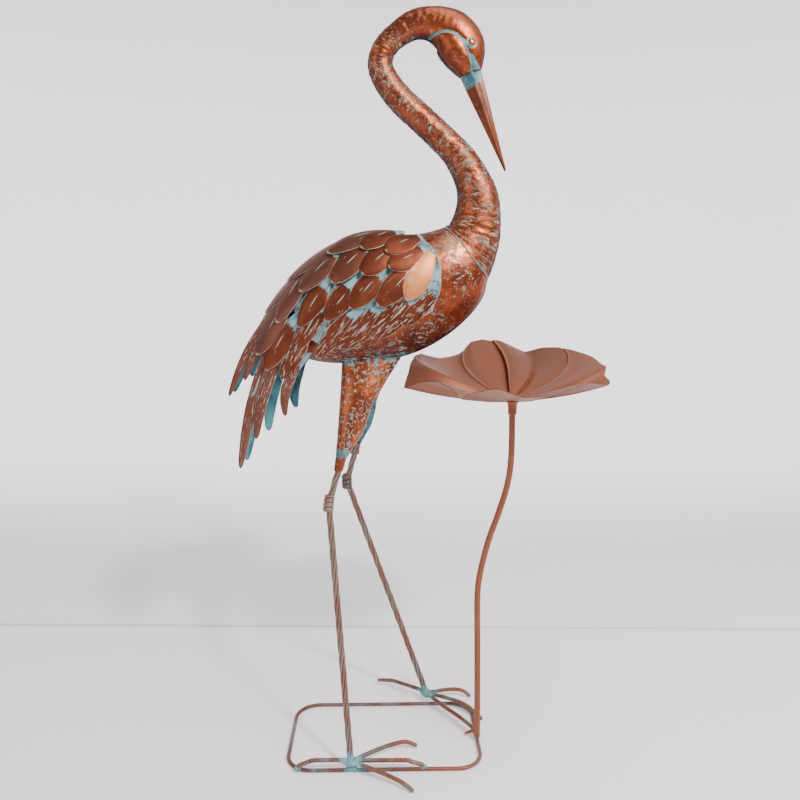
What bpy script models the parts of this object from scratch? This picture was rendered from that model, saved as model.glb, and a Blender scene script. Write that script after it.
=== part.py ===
"""A standing crane in painted sheet steel, with a lotus-leaf dish on a stem beside it.

Metres, +Z up. The crane faces +X and its right side looks towards -Y. The origin is under the
middle of the whole object, on the surface that it stands on.
"""

import math

import bmesh
import bpy
from mathutils import Vector
from mathutils.bvhtree import BVHTree

NAME = "crane_statue"
GAP = 0.0003

# The body's form: (top x, z), (bottom x, z) and half width of each section, breast to tail.
FORM = (
    ((0.035, 0.769), (0.095, 0.696), 0.040),
    ((0.006, 0.761), (0.089, 0.672), 0.048),
    ((-0.024, 0.758), (0.070, 0.646), 0.054),
    ((-0.056, 0.755), (0.039, 0.619), 0.058),
    ((-0.090, 0.745), (-0.002, 0.596), 0.060),
    ((-0.122, 0.729), (-0.050, 0.583), 0.059),
    ((-0.152, 0.706), (-0.102, 0.578), 0.055),
    ((-0.180, 0.676), (-0.144, 0.569), 0.048),
    ((-0.204, 0.640), (-0.176, 0.558), 0.039),
    ((-0.222, 0.602), (-0.200, 0.542), 0.031),
    ((-0.236, 0.562), (-0.216, 0.516), 0.025),
)
BODY_SIDES = 24
BODY_RINGS = 17
BODY_END = 7.7
BODY_CLOSES_FROM = 5.6

# The neck and head: centre x, z, radius in the bird's own plane, and half width.
NECK = (
    (0.0760, 0.762, 0.0375, 0.0330),
    (0.0805, 0.790, 0.0320, 0.0300),
    (0.0790, 0.814, 0.0285, 0.0275),
    (0.0700, 0.838, 0.0242, 0.0238),
    (0.0560, 0.861, 0.0218, 0.0215),
    (0.0400, 0.879, 0.0198, 0.0198),
    (0.0050, 0.911, 0.0192, 0.0190),
    (-0.0270, 0.939, 0.0188, 0.0185),
    (-0.0490, 0.967, 0.0177, 0.0176),
    (-0.0555, 0.989, 0.0170, 0.0170),
    (-0.0470, 1.009, 0.0162, 0.0165),
    (-0.0310, 1.024, 0.0166, 0.0166),
    (-0.0120, 1.035, 0.0190, 0.0175),
    (0.0070, 1.0380, 0.0213, 0.0190),
    (0.0250, 1.0345, 0.0255, 0.0210),
    (0.0410, 1.026, 0.0302, 0.0232),
    (0.0520, 1.012, 0.0325, 0.0238),
    (0.0590, 0.998, 0.0300, 0.0222),
    (0.0640, 0.985, 0.0230, 0.0180),
    (0.0675, 0.9745, 0.0160, 0.0125),
)
NECK_SIDES = 16
NECK_STEPS = 2

BEAK_TIP = (0.118, 0.846)
BEAK_SECTIONS = ((0.0, 1.0), (0.12, 0.93), (0.55, 0.50), (0.97, 0.09), (1.0, 0.045))
BEAK_DEPTH = 0.0150
BEAK_WIDTH = 0.0115
EYE_AT = (0.066, 1.0080)
EYE_RADIUS = 0.0046
EYE_PROUD = 0.0024

# The wing: a thin plate on the body's side, then shingled feathers in rings, front to tail.
PLATE_LIFT = 0.0014
SHEET = 0.0010
# The plate's front rim from the back line down, as places on the form.
PLATE_RIM = (1.60, 1.46, 1.38, 1.42, 1.62, 1.95, 2.39, 3.00)
PLATE_REAR = 6.6
PLATE_HIGH = math.radians(24)
PLATE_LOW = math.radians(118)
FEATHER_SHEET = 0.0008
ROOT_LIFT = 0.0046
TIP_LIFT = 0.0102
# Where each feather's tip shows from the side, from the back line down, ring by ring.
FEATHER_TIPS = (
    ((-0.048, 0.727), (-0.045, 0.709), (-0.022, 0.669), (-0.030, 0.640)),
    ((-0.079, 0.729), (-0.079, 0.700), (-0.061, 0.663), (-0.070, 0.622)),
    ((-0.121, 0.720), (-0.119, 0.688), (-0.097, 0.659), (-0.112, 0.608)),
    ((-0.172, 0.684), (-0.158, 0.674), (-0.130, 0.643), (-0.145, 0.596)),
    ((-0.205, 0.650), (-0.190, 0.634), (-0.164, 0.632), (-0.177, 0.595)),
)
# How far a feather runs from root to tip, seen from the side, on the back line and low down.
FEATHER_RUN_FRONT = ((0.045, 0.024), (0.040, 0.045))
FEATHER_RUN_REAR = ((0.058, 0.046), (0.046, 0.048))
FEATHER_HALF_WIDTH = 0.020
BACK_LINE_ANGLE = math.radians(8)
# A feather's outline: how far along, and how much of its full half width.
OUTLINE = ((0.0, 0.80), (0.35, 1.0), (0.62, 0.96), (0.82, 0.80), (0.94, 0.52), (1.0, 0.20))
SLIT_FROM = 2

# Long tail feathers from the back line down: root x, y, z, tip x, y, z, full width, and the
# angle round the body at which each is seated.
TAIL_FEATHERS = (
    ((-0.2060, 0.0210, 0.650), (-0.2720, 0.0180, 0.5370), 0.022, math.radians(52)),
    ((-0.2010, 0.0250, 0.616), (-0.2440, 0.0215, 0.5600), 0.022, math.radians(66)),
    ((-0.2080, 0.0290, 0.606), (-0.2545, 0.0240, 0.4370), 0.025, math.radians(85)),
    ((-0.1950, 0.0330, 0.596), (-0.2290, 0.0290, 0.4790), 0.024, math.radians(101)),
    ((-0.1750, 0.0370, 0.572), (-0.1880, 0.0350, 0.5150), 0.022, math.radians(118)),
)
TAIL_SEAT = 7.0
TAIL_SEAT_LIFT = 0.0005
TAIL_SEAT_OUTLINE = ((0.0, 0.35), (0.5, 0.60))
TAIL_CROWN = 0.0015
TAIL_OUTLINE = ((0.0, 0.75), (0.25, 1.0), (0.5, 0.95), (0.75, 0.72), (0.92, 0.45), (1.0, 0.22))

# A thigh: height, rear x, front x, how far out its rim is, its depth and half its wrap angle.
THIGH = (
    (0.433, -0.1225, -0.1089, 0.0520, 0.0068, 150),
    (0.448, -0.1202, -0.1048, 0.0511, 0.0077, 135),
    (0.461, -0.1190, -0.0965, 0.0480, 0.0100, 115),
    (0.480, -0.1175, -0.0840, 0.0430, 0.0125, 100),
    (0.502, -0.1160, -0.0750, 0.0370, 0.0140, 95),
    (0.524, -0.1145, -0.0680, 0.0310, 0.0148, 92),
    (0.548, -0.1130, -0.0530, 0.0240, 0.0150, 90),
    (0.580, -0.1110, -0.0310, 0.0150, 0.0130, 90),
)
THIGH_TOP = 0.580
THIGH_COLUMNS = 12
THIGH_CLEAR = 0.0012
LEFT_THIGH_LEAN = 0.019

# Leg wires, knees and feet, right and left: the left foot stands forward of the right one.
LEG_RADIUS = 0.0043
LEG_LOBE = 0.13
LEG_SIDES = 9
LEG_TURN_EVERY = 0.19
KNEE_RADIUS = 0.0078
KNEE_HALF = 0.0125
KNEE_ARC = 10
KNEE_CLEAR = 0.0022
UPPER_TURN = 0.4
WELD_SIZE = (0.0115, 0.0105, 0.0100)
LEGS = {
    "right": {
        "sleeve": (-0.1136, -0.0513, 0.4400),
        "knee": (-0.1295, -0.0600, 0.3880),
        "ankle": (-0.1010, -0.0930, 0.0160),
    },
    "left": {
        "sleeve": (-0.0953, 0.0513, 0.4400),
        "knee": (-0.1100, 0.0600, 0.3880),
        "ankle": (0.0170, 0.0870, 0.0160),
    },
}
TOE_RADIUS = 0.0030
TOES = {
    "right_back_toe": (
        "right",
        ((-0.151, -0.093, 0.018), (-0.162, -0.093, 0.0155), (-0.178, -0.0930, 0.0090)),
    ),
    "right_middle_toe": (
        "right",
        ((-0.024, -0.094, 0.017), (-0.014, -0.094, 0.0145), (0.004, -0.0940, 0.0090)),
    ),
    "right_inner_toe": (
        "right",
        ((-0.055, -0.062, 0.016), (-0.023, -0.044, 0.013), (-0.004, -0.0420, 0.0050)),
    ),
    "right_outer_toe": (
        "right",
        ((-0.062, -0.111, 0.012), (-0.031, -0.130, 0.0095), (-0.013, -0.1435, 0.0040)),
    ),
    "left_back_toe": (
        "left",
        ((-0.028, 0.117, 0.018), (-0.043, 0.128, 0.0160), (-0.064, 0.1430, 0.0080)),
    ),
    "left_far_toe": (
        "left",
        ((0.056, 0.098, 0.015), (0.078, 0.100, 0.0120), (0.092, 0.0940, 0.0040)),
    ),
    "left_middle_toe": (
        "left",
        ((0.053, 0.070, 0.015), (0.080, 0.053, 0.0130), (0.103, 0.0265, 0.0040)),
    ),
    "left_front_toe": (
        "left",
        ((0.044, 0.046, 0.015), (0.067, 0.018, 0.0130), (0.086, -0.0125, 0.0120)),
    ),
}

# The base loop: a rod bent to a rounded rectangle.
ROD_RADIUS = 0.0026
LOOP_LOW = (-0.194, -0.0940)
LOOP_HIGH = (0.089, 0.0755)
LOOP_CORNER = 0.036
CORNER_STEPS = 5

# The stem and the leaf dish that it carries.
STEM_RADIUS = 0.0043
STEM = (
    (0.0888, -0.022, 0.0062),
    (0.0885, -0.022, 0.065),
    (0.0870, -0.022, 0.165),
    (0.0860, -0.022, 0.231),
    (0.0890, -0.023, 0.267),
    (0.1000, -0.024, 0.317),
    (0.1140, -0.025, 0.360),
    (0.1260, -0.025, 0.402),
    (0.1310, -0.025, 0.443),
    (0.1310, -0.025, 0.5095),
)
COLLAR_RADIUS = 0.0062
COLLAR_LENGTH = 0.0150
COLLAR_FLARE = 1.15
LEAF_CENTRE = (0.1245, -0.011)
LEAF_RADIUS = 0.1430
LEAF_DEPTH_SHARE = 0.95
LEAF_BOTTOM = 0.5270
LEAF_SHEET = 0.0011
LEAF_RISE = 0.0450
LEAF_TILT = 0.110
LEAF_WAVE = 0.0065
LEAF_SPOKES = 28
LEAF_LOBES = 7
LEAF_CIRCLES = (0.0, 0.14, 0.38, 0.62, 0.82, 1.0)


def clear_scene():
    """Takes away whatever the file holds."""
    for item in list(bpy.data.objects):
        bpy.data.objects.remove(item, do_unlink=True)


def material(name, colour, roughness, metallic):
    """One painted finish."""
    made = bpy.data.materials.new(name)
    made.use_nodes = True
    shader = made.node_tree.nodes["Principled BSDF"]
    shader.inputs["Base Color"].default_value = (*colour, 1.0)
    shader.inputs["Roughness"].default_value = roughness
    shader.inputs["Metallic"].default_value = metallic
    return made


def catmull(a, b, c, d, t):
    """A smooth value between b and c."""
    return b + 0.5 * t * (c - a + t * (2 * a - 5 * b + 4 * c - d + t * (3 * (b - c) + d - a)))


def smooth_at(rows, t):
    """The row of numbers at t along a list of rows, run on straight past either end."""
    last = len(rows) - 1
    i = min(max(int(math.floor(t)), 0), last - 1)
    before, after = rows[max(i - 1, 0)], rows[min(i + 2, last)]
    if t < 0 or t > last:
        return [b + (c - b) * (t - i) for b, c in zip(rows[i], rows[i + 1])]
    return [catmull(a, b, c, d, t - i) for a, b, c, d in zip(before, rows[i], rows[i + 1], after)]


FORM_ROWS = [(*top, *bottom, half) for top, bottom, half in FORM]


def form_section(t):
    """Centre, half-height vector and half width of the body's section at t."""
    top_x, top_z, bottom_x, bottom_z, half = smooth_at(FORM_ROWS, t)
    top, bottom = Vector((top_x, 0, top_z)), Vector((bottom_x, 0, bottom_z))
    return (top + bottom) / 2, (top - bottom) / 2, half


def form_point(t, angle, lift=0.0, side=-1):
    """A point on the body's form. The angle runs from the back line round a side to the belly."""
    centre, up, half = form_section(t)
    spot = centre + up * math.cos(angle) + Vector((0, side * half * math.sin(angle), 0))
    if not lift:
        return spot
    step = 0.05
    along = form_point(t + step, angle, 0, side) - form_point(t - step, angle, 0, side)
    around = form_point(t, angle + step, 0, side) - form_point(t, angle - step, 0, side)
    return spot + along.cross(around).normalized() * -side * lift


def form_place(x, z):
    """The t and angle at which the form shows at x, z from the side."""
    spot = Vector((x, 0, z))
    low, high = -1.0, len(FORM) + 1.0
    for _ in range(40):
        middle = (low + high) / 2
        centre, up, _ = form_section(middle)
        if up.cross(spot - centre).y < 0:
            low = middle
        else:
            high = middle
    centre, up, _ = form_section(low)
    share = (spot - centre).dot(up) / up.length_squared
    return low, math.acos(min(max(share, -0.97), 0.97))


def new_object(name, mesh, collection, finish=None):
    """Puts a mesh into the scene under its own name."""
    made = bpy.data.objects.new(name, mesh)
    collection.objects.link(made)
    if finish:
        mesh.materials.append(finish)
    return made


def from_bmesh(name, shape, collection, finish, smooth_angle=40):
    """Finishes a bmesh as an object with its faces pointing out."""
    bmesh.ops.recalc_face_normals(shape, faces=shape.faces)
    mesh = bpy.data.meshes.new(name)
    shape.to_mesh(mesh)
    shape.free()
    mesh.shade_smooth()
    mesh.set_sharp_from_angle(angle=math.radians(smooth_angle))
    return new_object(name, mesh, collection, finish)


def loft(name, rings, collection, finish, smooth_angle=40):
    """A closed body through rings of points, with flat ends."""
    shape = bmesh.new()
    loops = [[shape.verts.new(p) for p in ring] for ring in rings]
    count = len(loops[0])
    for near, far in zip(loops, loops[1:]):
        for i in range(count):
            j = (i + 1) % count
            shape.faces.new((near[i], near[j], far[j], far[i]))
    shape.faces.new(loops[0])
    shape.faces.new(loops[-1])
    return from_bmesh(name, shape, collection, finish, smooth_angle)


def sheet(name, grid, thickness, collection, finish, offset=0.0):
    """A thin sheet from a grid of points: an open surface with Solidify."""
    shape = bmesh.new()
    rows = [[shape.verts.new(p) for p in row] for row in grid]
    for near, far in zip(rows, rows[1:]):
        for i in range(len(near) - 1):
            shape.faces.new((near[i], near[i + 1], far[i + 1], far[i]))
    made = from_bmesh(name, shape, collection, finish)
    thicken(made, thickness, offset)
    return made


def thicken(made, thickness, offset):
    """Gives an open surface its thickness."""
    solid = made.modifiers.new("thickness", "SOLIDIFY")
    solid.thickness = thickness
    solid.offset = offset


def tube(name, points, radius, collection, finish, cyclic=False, tilt=0.0):
    """A rod of eight sides along points, with closed ends. tilt turns the section about the run."""
    data = bpy.data.curves.new(name, "CURVE")
    data.dimensions = "3D"
    data.bevel_depth = radius
    data.bevel_resolution = 2
    data.use_fill_caps = True
    spline = data.splines.new("POLY")
    spline.points.add(len(points) - 1)
    for place, point in zip(spline.points, points):
        place.co = (*point, 1.0)
        place.tilt = tilt
    spline.use_cyclic_u = cyclic
    made = bpy.data.objects.new(name, data)
    collection.objects.link(made)
    data.materials.append(finish)
    return made


def meshed(curve, collection, finish):
    """The same rod as a closed mesh."""
    name = curve.name
    graph = bpy.context.evaluated_depsgraph_get()
    mesh = bpy.data.meshes.new_from_object(curve.evaluated_get(graph))
    place = curve.matrix_world.copy()
    data = curve.data
    bpy.data.objects.remove(curve, do_unlink=True)
    bpy.data.curves.remove(data)
    shape = bmesh.new()
    shape.from_mesh(mesh)
    bmesh.ops.remove_doubles(shape, verts=shape.verts, dist=0.00005)
    bmesh.ops.recalc_face_normals(shape, faces=shape.faces)
    shape.to_mesh(mesh)
    shape.free()
    mesh.name = name
    mesh.materials.clear()
    made = new_object(name, mesh, collection, finish)
    made.matrix_world = place
    mesh.shade_smooth()
    mesh.set_sharp_from_angle(angle=math.radians(50))
    return made


def smooth_points(points, steps):
    """Points read from a smooth curve through the given ones."""
    total = (len(points) - 1) * steps
    return [Vector(smooth_at(points, i / steps)) for i in range(total + 1)]


def body_rings():
    """The body's sections, drawn in to a blunt end at the tail."""
    rings = []
    for i in range(BODY_RINGS):
        t = BODY_END * i / (BODY_RINGS - 1)
        past = max(0.0, (t - BODY_CLOSES_FROM) / (BODY_END - BODY_CLOSES_FROM))
        shrink = math.sqrt(max(1.0 - 0.97 * past * past, 0.0))
        centre, up, half = form_section(t)
        ring = []
        for k in range(BODY_SIDES):
            angle = math.tau * k / BODY_SIDES
            ring.append(centre + (up * math.cos(angle) - Vector((0, half * math.sin(angle), 0))) * shrink)
        rings.append(ring)
    return rings


def neck_rings():
    """Round sections along the neck and head, starting on the seam with the body."""
    centre, up, half = form_section(0)
    clear = Vector((up.z, 0, -up.x)).normalized() * GAP
    rows = [(centre.x + clear.x, centre.z + clear.z, up.length, half)] + list(NECK)
    rings = []
    last = len(rows) - 1
    for i in range(last * NECK_STEPS + 1):
        t = i / NECK_STEPS
        x, z, radius, wide = smooth_at(rows, t)
        ahead, behind = smooth_at(rows, min(t + 0.1, last)), smooth_at(rows, max(t - 0.1, 0))
        run = Vector((ahead[0] - behind[0], 0, ahead[1] - behind[1])).normalized()
        across = Vector((-run.z, 0, run.x))
        seam = max(0.0, 1.0 - t)
        across = (across * (1 - seam) + up.normalized() * seam).normalized()
        ring = []
        for k in range(NECK_SIDES):
            angle = math.tau * k / NECK_SIDES
            ring.append(
                Vector((x, 0, z)) + across * radius * math.cos(angle) - Vector((0, wide * math.sin(angle), 0))
            )
        rings.append(ring)
    return rings


def beak_rings(head_end):
    """Four-sided sections from the face down to a blunt tip."""
    base = sum(head_end, Vector()) / len(head_end)
    tip = Vector((BEAK_TIP[0], 0, BEAK_TIP[1]))
    run = (tip - base).normalized()
    base = base + run * 0.0015
    across = Vector((-run.z, 0, run.x))
    rings = []
    for along, share in BEAK_SECTIONS:
        spot = base.lerp(tip, along)
        deep = across * BEAK_DEPTH * share
        wide = Vector((0, BEAK_WIDTH * share, 0))
        rings.append([spot + deep, spot - wide, spot - deep, spot + wide])
    return rings


def surface_of(made):
    """A search tree over an object's finished mesh."""
    return BVHTree.FromObject(made, bpy.context.evaluated_depsgraph_get())


def eye(name, side, head, collection, finish):
    """A bead set on the side of the head."""
    start = Vector((EYE_AT[0], side * 0.2, EYE_AT[1]))
    spot, normal, _, _ = head.ray_cast(start, Vector((0, -side, 0)))
    shape = bmesh.new()
    bmesh.ops.create_uvsphere(shape, u_segments=12, v_segments=6, radius=EYE_RADIUS)
    bmesh.ops.scale(shape, vec=(1, 1, EYE_PROUD / EYE_RADIUS), verts=shape.verts)
    made = from_bmesh(name, shape, collection, finish)
    made.rotation_mode = "QUATERNION"
    made.rotation_quaternion = normal.to_track_quat("Z", "Y")
    made.location = spot + normal * (EYE_PROUD + 2 * GAP)
    return made


def wing_plate(name, side, collection, finish):
    """The plate that the feathers stand on, with a rounded front rim."""
    rows, columns = len(PLATE_RIM) - 1, 7
    grid = []
    for i, front in enumerate(PLATE_RIM):
        down = i / rows
        angle = PLATE_HIGH + (PLATE_LOW - PLATE_HIGH) * down
        bow = 1.0 - (2 * down - 1) ** 2
        rear = PLATE_REAR - 1.0 * (1.0 - bow)
        line = []
        for j in range(columns + 1):
            t = front + (rear - front) * j / columns
            line.append(form_point(t, angle, PLATE_LIFT + SHEET / 2, side))
        grid.append(line)
    return sheet(name, grid, SHEET, collection, finish)


def feather_line(tip, back, down):
    """Root and tip of a feather as places on the form. back and down say where it is on the wing."""
    run = []
    for axis in (0, 1):
        high = FEATHER_RUN_FRONT[0][axis] * (1 - back) + FEATHER_RUN_REAR[0][axis] * back
        low = FEATHER_RUN_FRONT[1][axis] * (1 - back) + FEATHER_RUN_REAR[1][axis] * back
        run.append(high + (low - high) * down)
    return form_place(tip[0] + run[0], tip[1] + run[1]), form_place(*tip)


def feather_ring(name, tips, back, side, collection, finish):
    """A ring of feathers, joined where their roots touch and parted towards their round tips."""
    lines = [feather_line(tip, back, i / (len(tips) - 1)) for i, tip in enumerate(tips)]

    def spine(index, along):
        root, tip = lines[index]
        return [root[0] + (tip[0] - root[0]) * along, root[1] + (tip[1] - root[1]) * along]

    def edge(index, along, share, way):
        here = spine(index, along)
        other = index + way
        if 0 <= other < len(lines):
            there = spine(other, along)
            middle = [(a + b) / 2 for a, b in zip(here, there)]
        else:
            _, up, _ = form_section(here[0])
            middle = [here[0], max(here[1] + way * FEATHER_HALF_WIDTH / up.length, BACK_LINE_ANGLE)]
        return [a + (b - a) * share for a, b in zip(here, middle)]

    def lifted(place, along, crown):
        lift = ROOT_LIFT + (TIP_LIFT - ROOT_LIFT) * along + crown
        return form_point(place[0], place[1], lift, side)

    shape = bmesh.new()
    shared = {}
    for index in range(len(tips)):
        rows = []
        for level, (along, share) in enumerate(OUTLINE):
            joined = level <= SLIT_FROM
            row = []
            for way in (-1, 0, 1):
                inner = 0 <= index + way < len(tips)
                width = 1.0 if joined and way and inner else share * (0.96 if inner else 1.0)
                place = edge(index, along, width, way) if way else spine(index, along)
                key = (level, 2 * index + way) if joined or not way else (level, 2 * index + way, index)
                if key not in shared:
                    shared[key] = shape.verts.new(lifted(place, along, 0.0008 if not way else 0.0))
                row.append(shared[key])
            rows.append(row)
        for near, far in zip(rows, rows[1:]):
            for i in range(2):
                shape.faces.new((near[i], near[i + 1], far[i + 1], far[i]))
    made = from_bmesh(name, shape, collection, finish)
    thicken(made, FEATHER_SHEET, 0.0)
    return made


def tail_feather(name, root, tip, width, angle, side, collection, finish):
    """A long feather that hangs from under the wing's rear edge, seated on the body's blunt end."""
    start = Vector((root[0], side * root[1], root[2]))
    end = Vector((tip[0], side * tip[1], tip[2]))
    run = (end - start).normalized()
    across = run.cross(Vector((0, side, 0))).normalized()
    seat = form_point(TAIL_SEAT, angle, TAIL_SEAT_LIFT, side)
    grid = []
    for along, share in TAIL_SEAT_OUTLINE:
        half = across * width / 2 * share
        spot = seat.lerp(start, along)
        grid.append([spot - half, spot + Vector((0, side * TAIL_CROWN, 0)), spot + half])
    for along, share in TAIL_OUTLINE:
        spot = start.lerp(end, along)
        spot += across * -side * 0.006 * math.sin(math.pi * along)
        half = across * width / 2 * share
        grid.append([spot - half, spot + Vector((0, side * TAIL_CROWN, 0)), spot + half])
    return sheet(name, grid, FEATHER_SHEET, collection, finish)


def thigh(name, side, lean, belly, collection, finish):
    """A stamped half shell, open towards the bird's middle, that ends in a sleeve."""
    grid = []
    for height, rear, front, rim, deep, wrap in THIGH:
        shift = lean * (THIGH_TOP - height) / (THIGH_TOP - THIGH[0][0])
        middle, half = (rear + front) / 2 + shift, (front - rear) / 2
        row = []
        for k in range(THIGH_COLUMNS + 1):
            angle = math.radians(wrap) * (2 * k / THIGH_COLUMNS - 1)
            x = middle + half * math.sin(angle)
            y = side * (rim + deep * math.cos(angle))
            z = height
            if height == THIGH_TOP:
                hit = belly.ray_cast(Vector((x, y, 0.45)), Vector((0, 0, 1)))
                z = hit[0].z - THIGH_CLEAR / max(abs(hit[1].z), 0.4)
            row.append(Vector((x, y, z)))
        grid.append(row)
    return sheet(name, grid, SHEET, collection, finish)


def wire_bundle(name, start, end, turned, collection, finish):
    """Three wires twisted together: a three-lobed section that turns as it climbs."""
    start, end = Vector(start), Vector(end)
    run = end - start
    frame = run.to_track_quat("Z", "Y")
    steps = max(3, round(run.length / 0.028))
    rings = []
    for i in range(steps + 1):
        along = i / steps
        turn = turned + math.tau * along * run.length / LEG_TURN_EVERY
        ring = []
        for k in range(LEG_SIDES):
            angle = math.tau * k / LEG_SIDES
            radius = LEG_RADIUS * (1 + LEG_LOBE * math.cos(3 * angle))
            across, aside = radius * math.cos(angle + turn), radius * math.sin(angle + turn)
            ring.append(start + frame @ Vector((across, aside, run.length * along)))
        rings.append(ring)
    return loft(name, rings, collection, finish, 60)


def knee(name, place, axis, collection, finish):
    """A short barrel wound round the wires at the bend."""
    place, axis = Vector(place), Vector(axis).normalized()
    frame = axis.to_track_quat("Z", "Y")
    profile = ((-1.0, 0.86), (-0.8, 1.0), (-0.1, 0.95), (0.1, 0.95), (0.8, 1.0), (1.0, 0.86))
    rings = []
    for along, share in profile:
        ring = []
        for k in range(KNEE_ARC):
            angle = math.tau * k / KNEE_ARC
            radius = KNEE_RADIUS * share
            local = Vector((radius * math.cos(angle), radius * math.sin(angle), KNEE_HALF * along))
            ring.append(place + frame @ local)
        rings.append(ring)
    return loft(name, rings, collection, finish)


def weld_lump(name, place, collection, finish):
    """The lump of weld where leg and toes meet."""
    shape = bmesh.new()
    bmesh.ops.create_uvsphere(shape, u_segments=10, v_segments=6, radius=1.0)
    bmesh.ops.scale(shape, vec=WELD_SIZE, verts=shape.verts)
    made = from_bmesh(name, shape, collection, finish)
    made.location = place
    return made


def toe(name, ankle, points, collection, finish):
    """A rod from the weld out to a bent-down tip."""
    heart, first = Vector(ankle), Vector(points[0])
    level = Vector((heart.x, heart.y, max(heart.z, first.z)))
    run = (first - level).normalized()
    start = level + run * (max(WELD_SIZE) + 0.0008)
    path = smooth_points([tuple(start), *points], 2)
    return meshed(tube(name, path, TOE_RADIUS, collection, finish), collection, finish)


def leg(label, side, collection, finishes):
    """One leg: wires above the knee, the knee, wires below it, and the weld."""
    places = LEGS[label]
    top, bend, ankle = Vector(places["sleeve"]), Vector(places["knee"]), Vector(places["ankle"])
    upper_axis, lower_axis = (top - bend).normalized(), (bend - ankle).normalized()
    axis = (upper_axis + lower_axis).normalized()
    clear = KNEE_HALF + KNEE_CLEAR
    above, below = bend + upper_axis * clear, bend - lower_axis * clear
    wire_bundle(f"{label}_upper_leg_wires", above, top, UPPER_TURN, collection, finishes["wire"])
    knee(f"{label}_knee_collar", bend, axis, collection, finishes["wire"])
    foot = ankle + Vector((0, 0, 1)) * (WELD_SIZE[2] + 2 * GAP)
    wire_bundle(f"{label}_lower_leg_wires", foot, below, 0.0, collection, finishes["wire"])
    weld_lump(f"{label}_foot_weld", ankle, collection, finishes["patina"])


def rounded_rectangle(low, high, corner, height):
    """Points round a rectangle with round corners."""
    centres = (
        (high[0] - corner, high[1] - corner, 0),
        (low[0] + corner, high[1] - corner, 90),
        (low[0] + corner, low[1] + corner, 180),
        (high[0] - corner, low[1] + corner, 270),
    )
    points = []
    for x, y, start in centres:
        for k in range(CORNER_STEPS + 1):
            angle = math.radians(start + 90 * k / CORNER_STEPS)
            points.append((x + corner * math.cos(angle), y + corner * math.sin(angle), height))
    return points


def leaf_height(share, angle):
    """Height of the dish above its lowest point: a bowl, tilted to the front, with a waved rim."""
    bowl = LEAF_RISE * share ** 1.5
    tilt = LEAF_TILT * LEAF_RADIUS * share * math.sin(angle) * share
    wave = LEAF_WAVE * share ** 2 * math.sin(LEAF_LOBES * angle + 0.6)
    return bowl + tilt + wave


def leaf_dish(collection, finish):
    """The lotus leaf: a thin round dish with seven soft lobes."""
    shape = bmesh.new()
    middle = shape.verts.new((STEM[-1][0], STEM[-1][1], LEAF_BOTTOM))
    rings = []
    for share in LEAF_CIRCLES[1:]:
        ring = []
        for k in range(LEAF_SPOKES):
            angle = math.tau * k / LEAF_SPOKES
            reach = LEAF_RADIUS * share * (1 + 0.035 * share * math.sin(LEAF_LOBES * angle - 0.9))
            centre_x = STEM[-1][0] + (LEAF_CENTRE[0] - STEM[-1][0]) * share
            centre_y = STEM[-1][1] + (LEAF_CENTRE[1] - STEM[-1][1]) * share
            x = centre_x + reach * math.cos(angle)
            y = centre_y + reach * LEAF_DEPTH_SHARE * math.sin(angle)
            ring.append(shape.verts.new((x, y, LEAF_BOTTOM + leaf_height(share, angle))))
        rings.append(ring)
    for k in range(LEAF_SPOKES):
        shape.faces.new((middle, rings[0][k], rings[0][(k + 1) % LEAF_SPOKES]))
    for near, far in zip(rings, rings[1:]):
        for k in range(LEAF_SPOKES):
            j = (k + 1) % LEAF_SPOKES
            shape.faces.new((near[k], far[k], far[j], near[j]))
    made = from_bmesh("leaf_dish", shape, collection, finish)
    thicken(made, LEAF_SHEET, 0.0)
    return made


def stem_collar(collection, finish):
    """The short sleeve that holds the leaf on the stem."""
    x, y, top = STEM[-1]
    low = top + 2 * GAP
    shape = bmesh.new()
    bmesh.ops.create_cone(
        shape,
        segments=12,
        radius1=COLLAR_RADIUS,
        radius2=COLLAR_RADIUS * COLLAR_FLARE,
        depth=COLLAR_LENGTH,
        cap_ends=True,
    )
    made = from_bmesh("stem_collar", shape, collection, finish)
    made.location = (x, y, low + COLLAR_LENGTH / 2)
    return made


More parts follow.
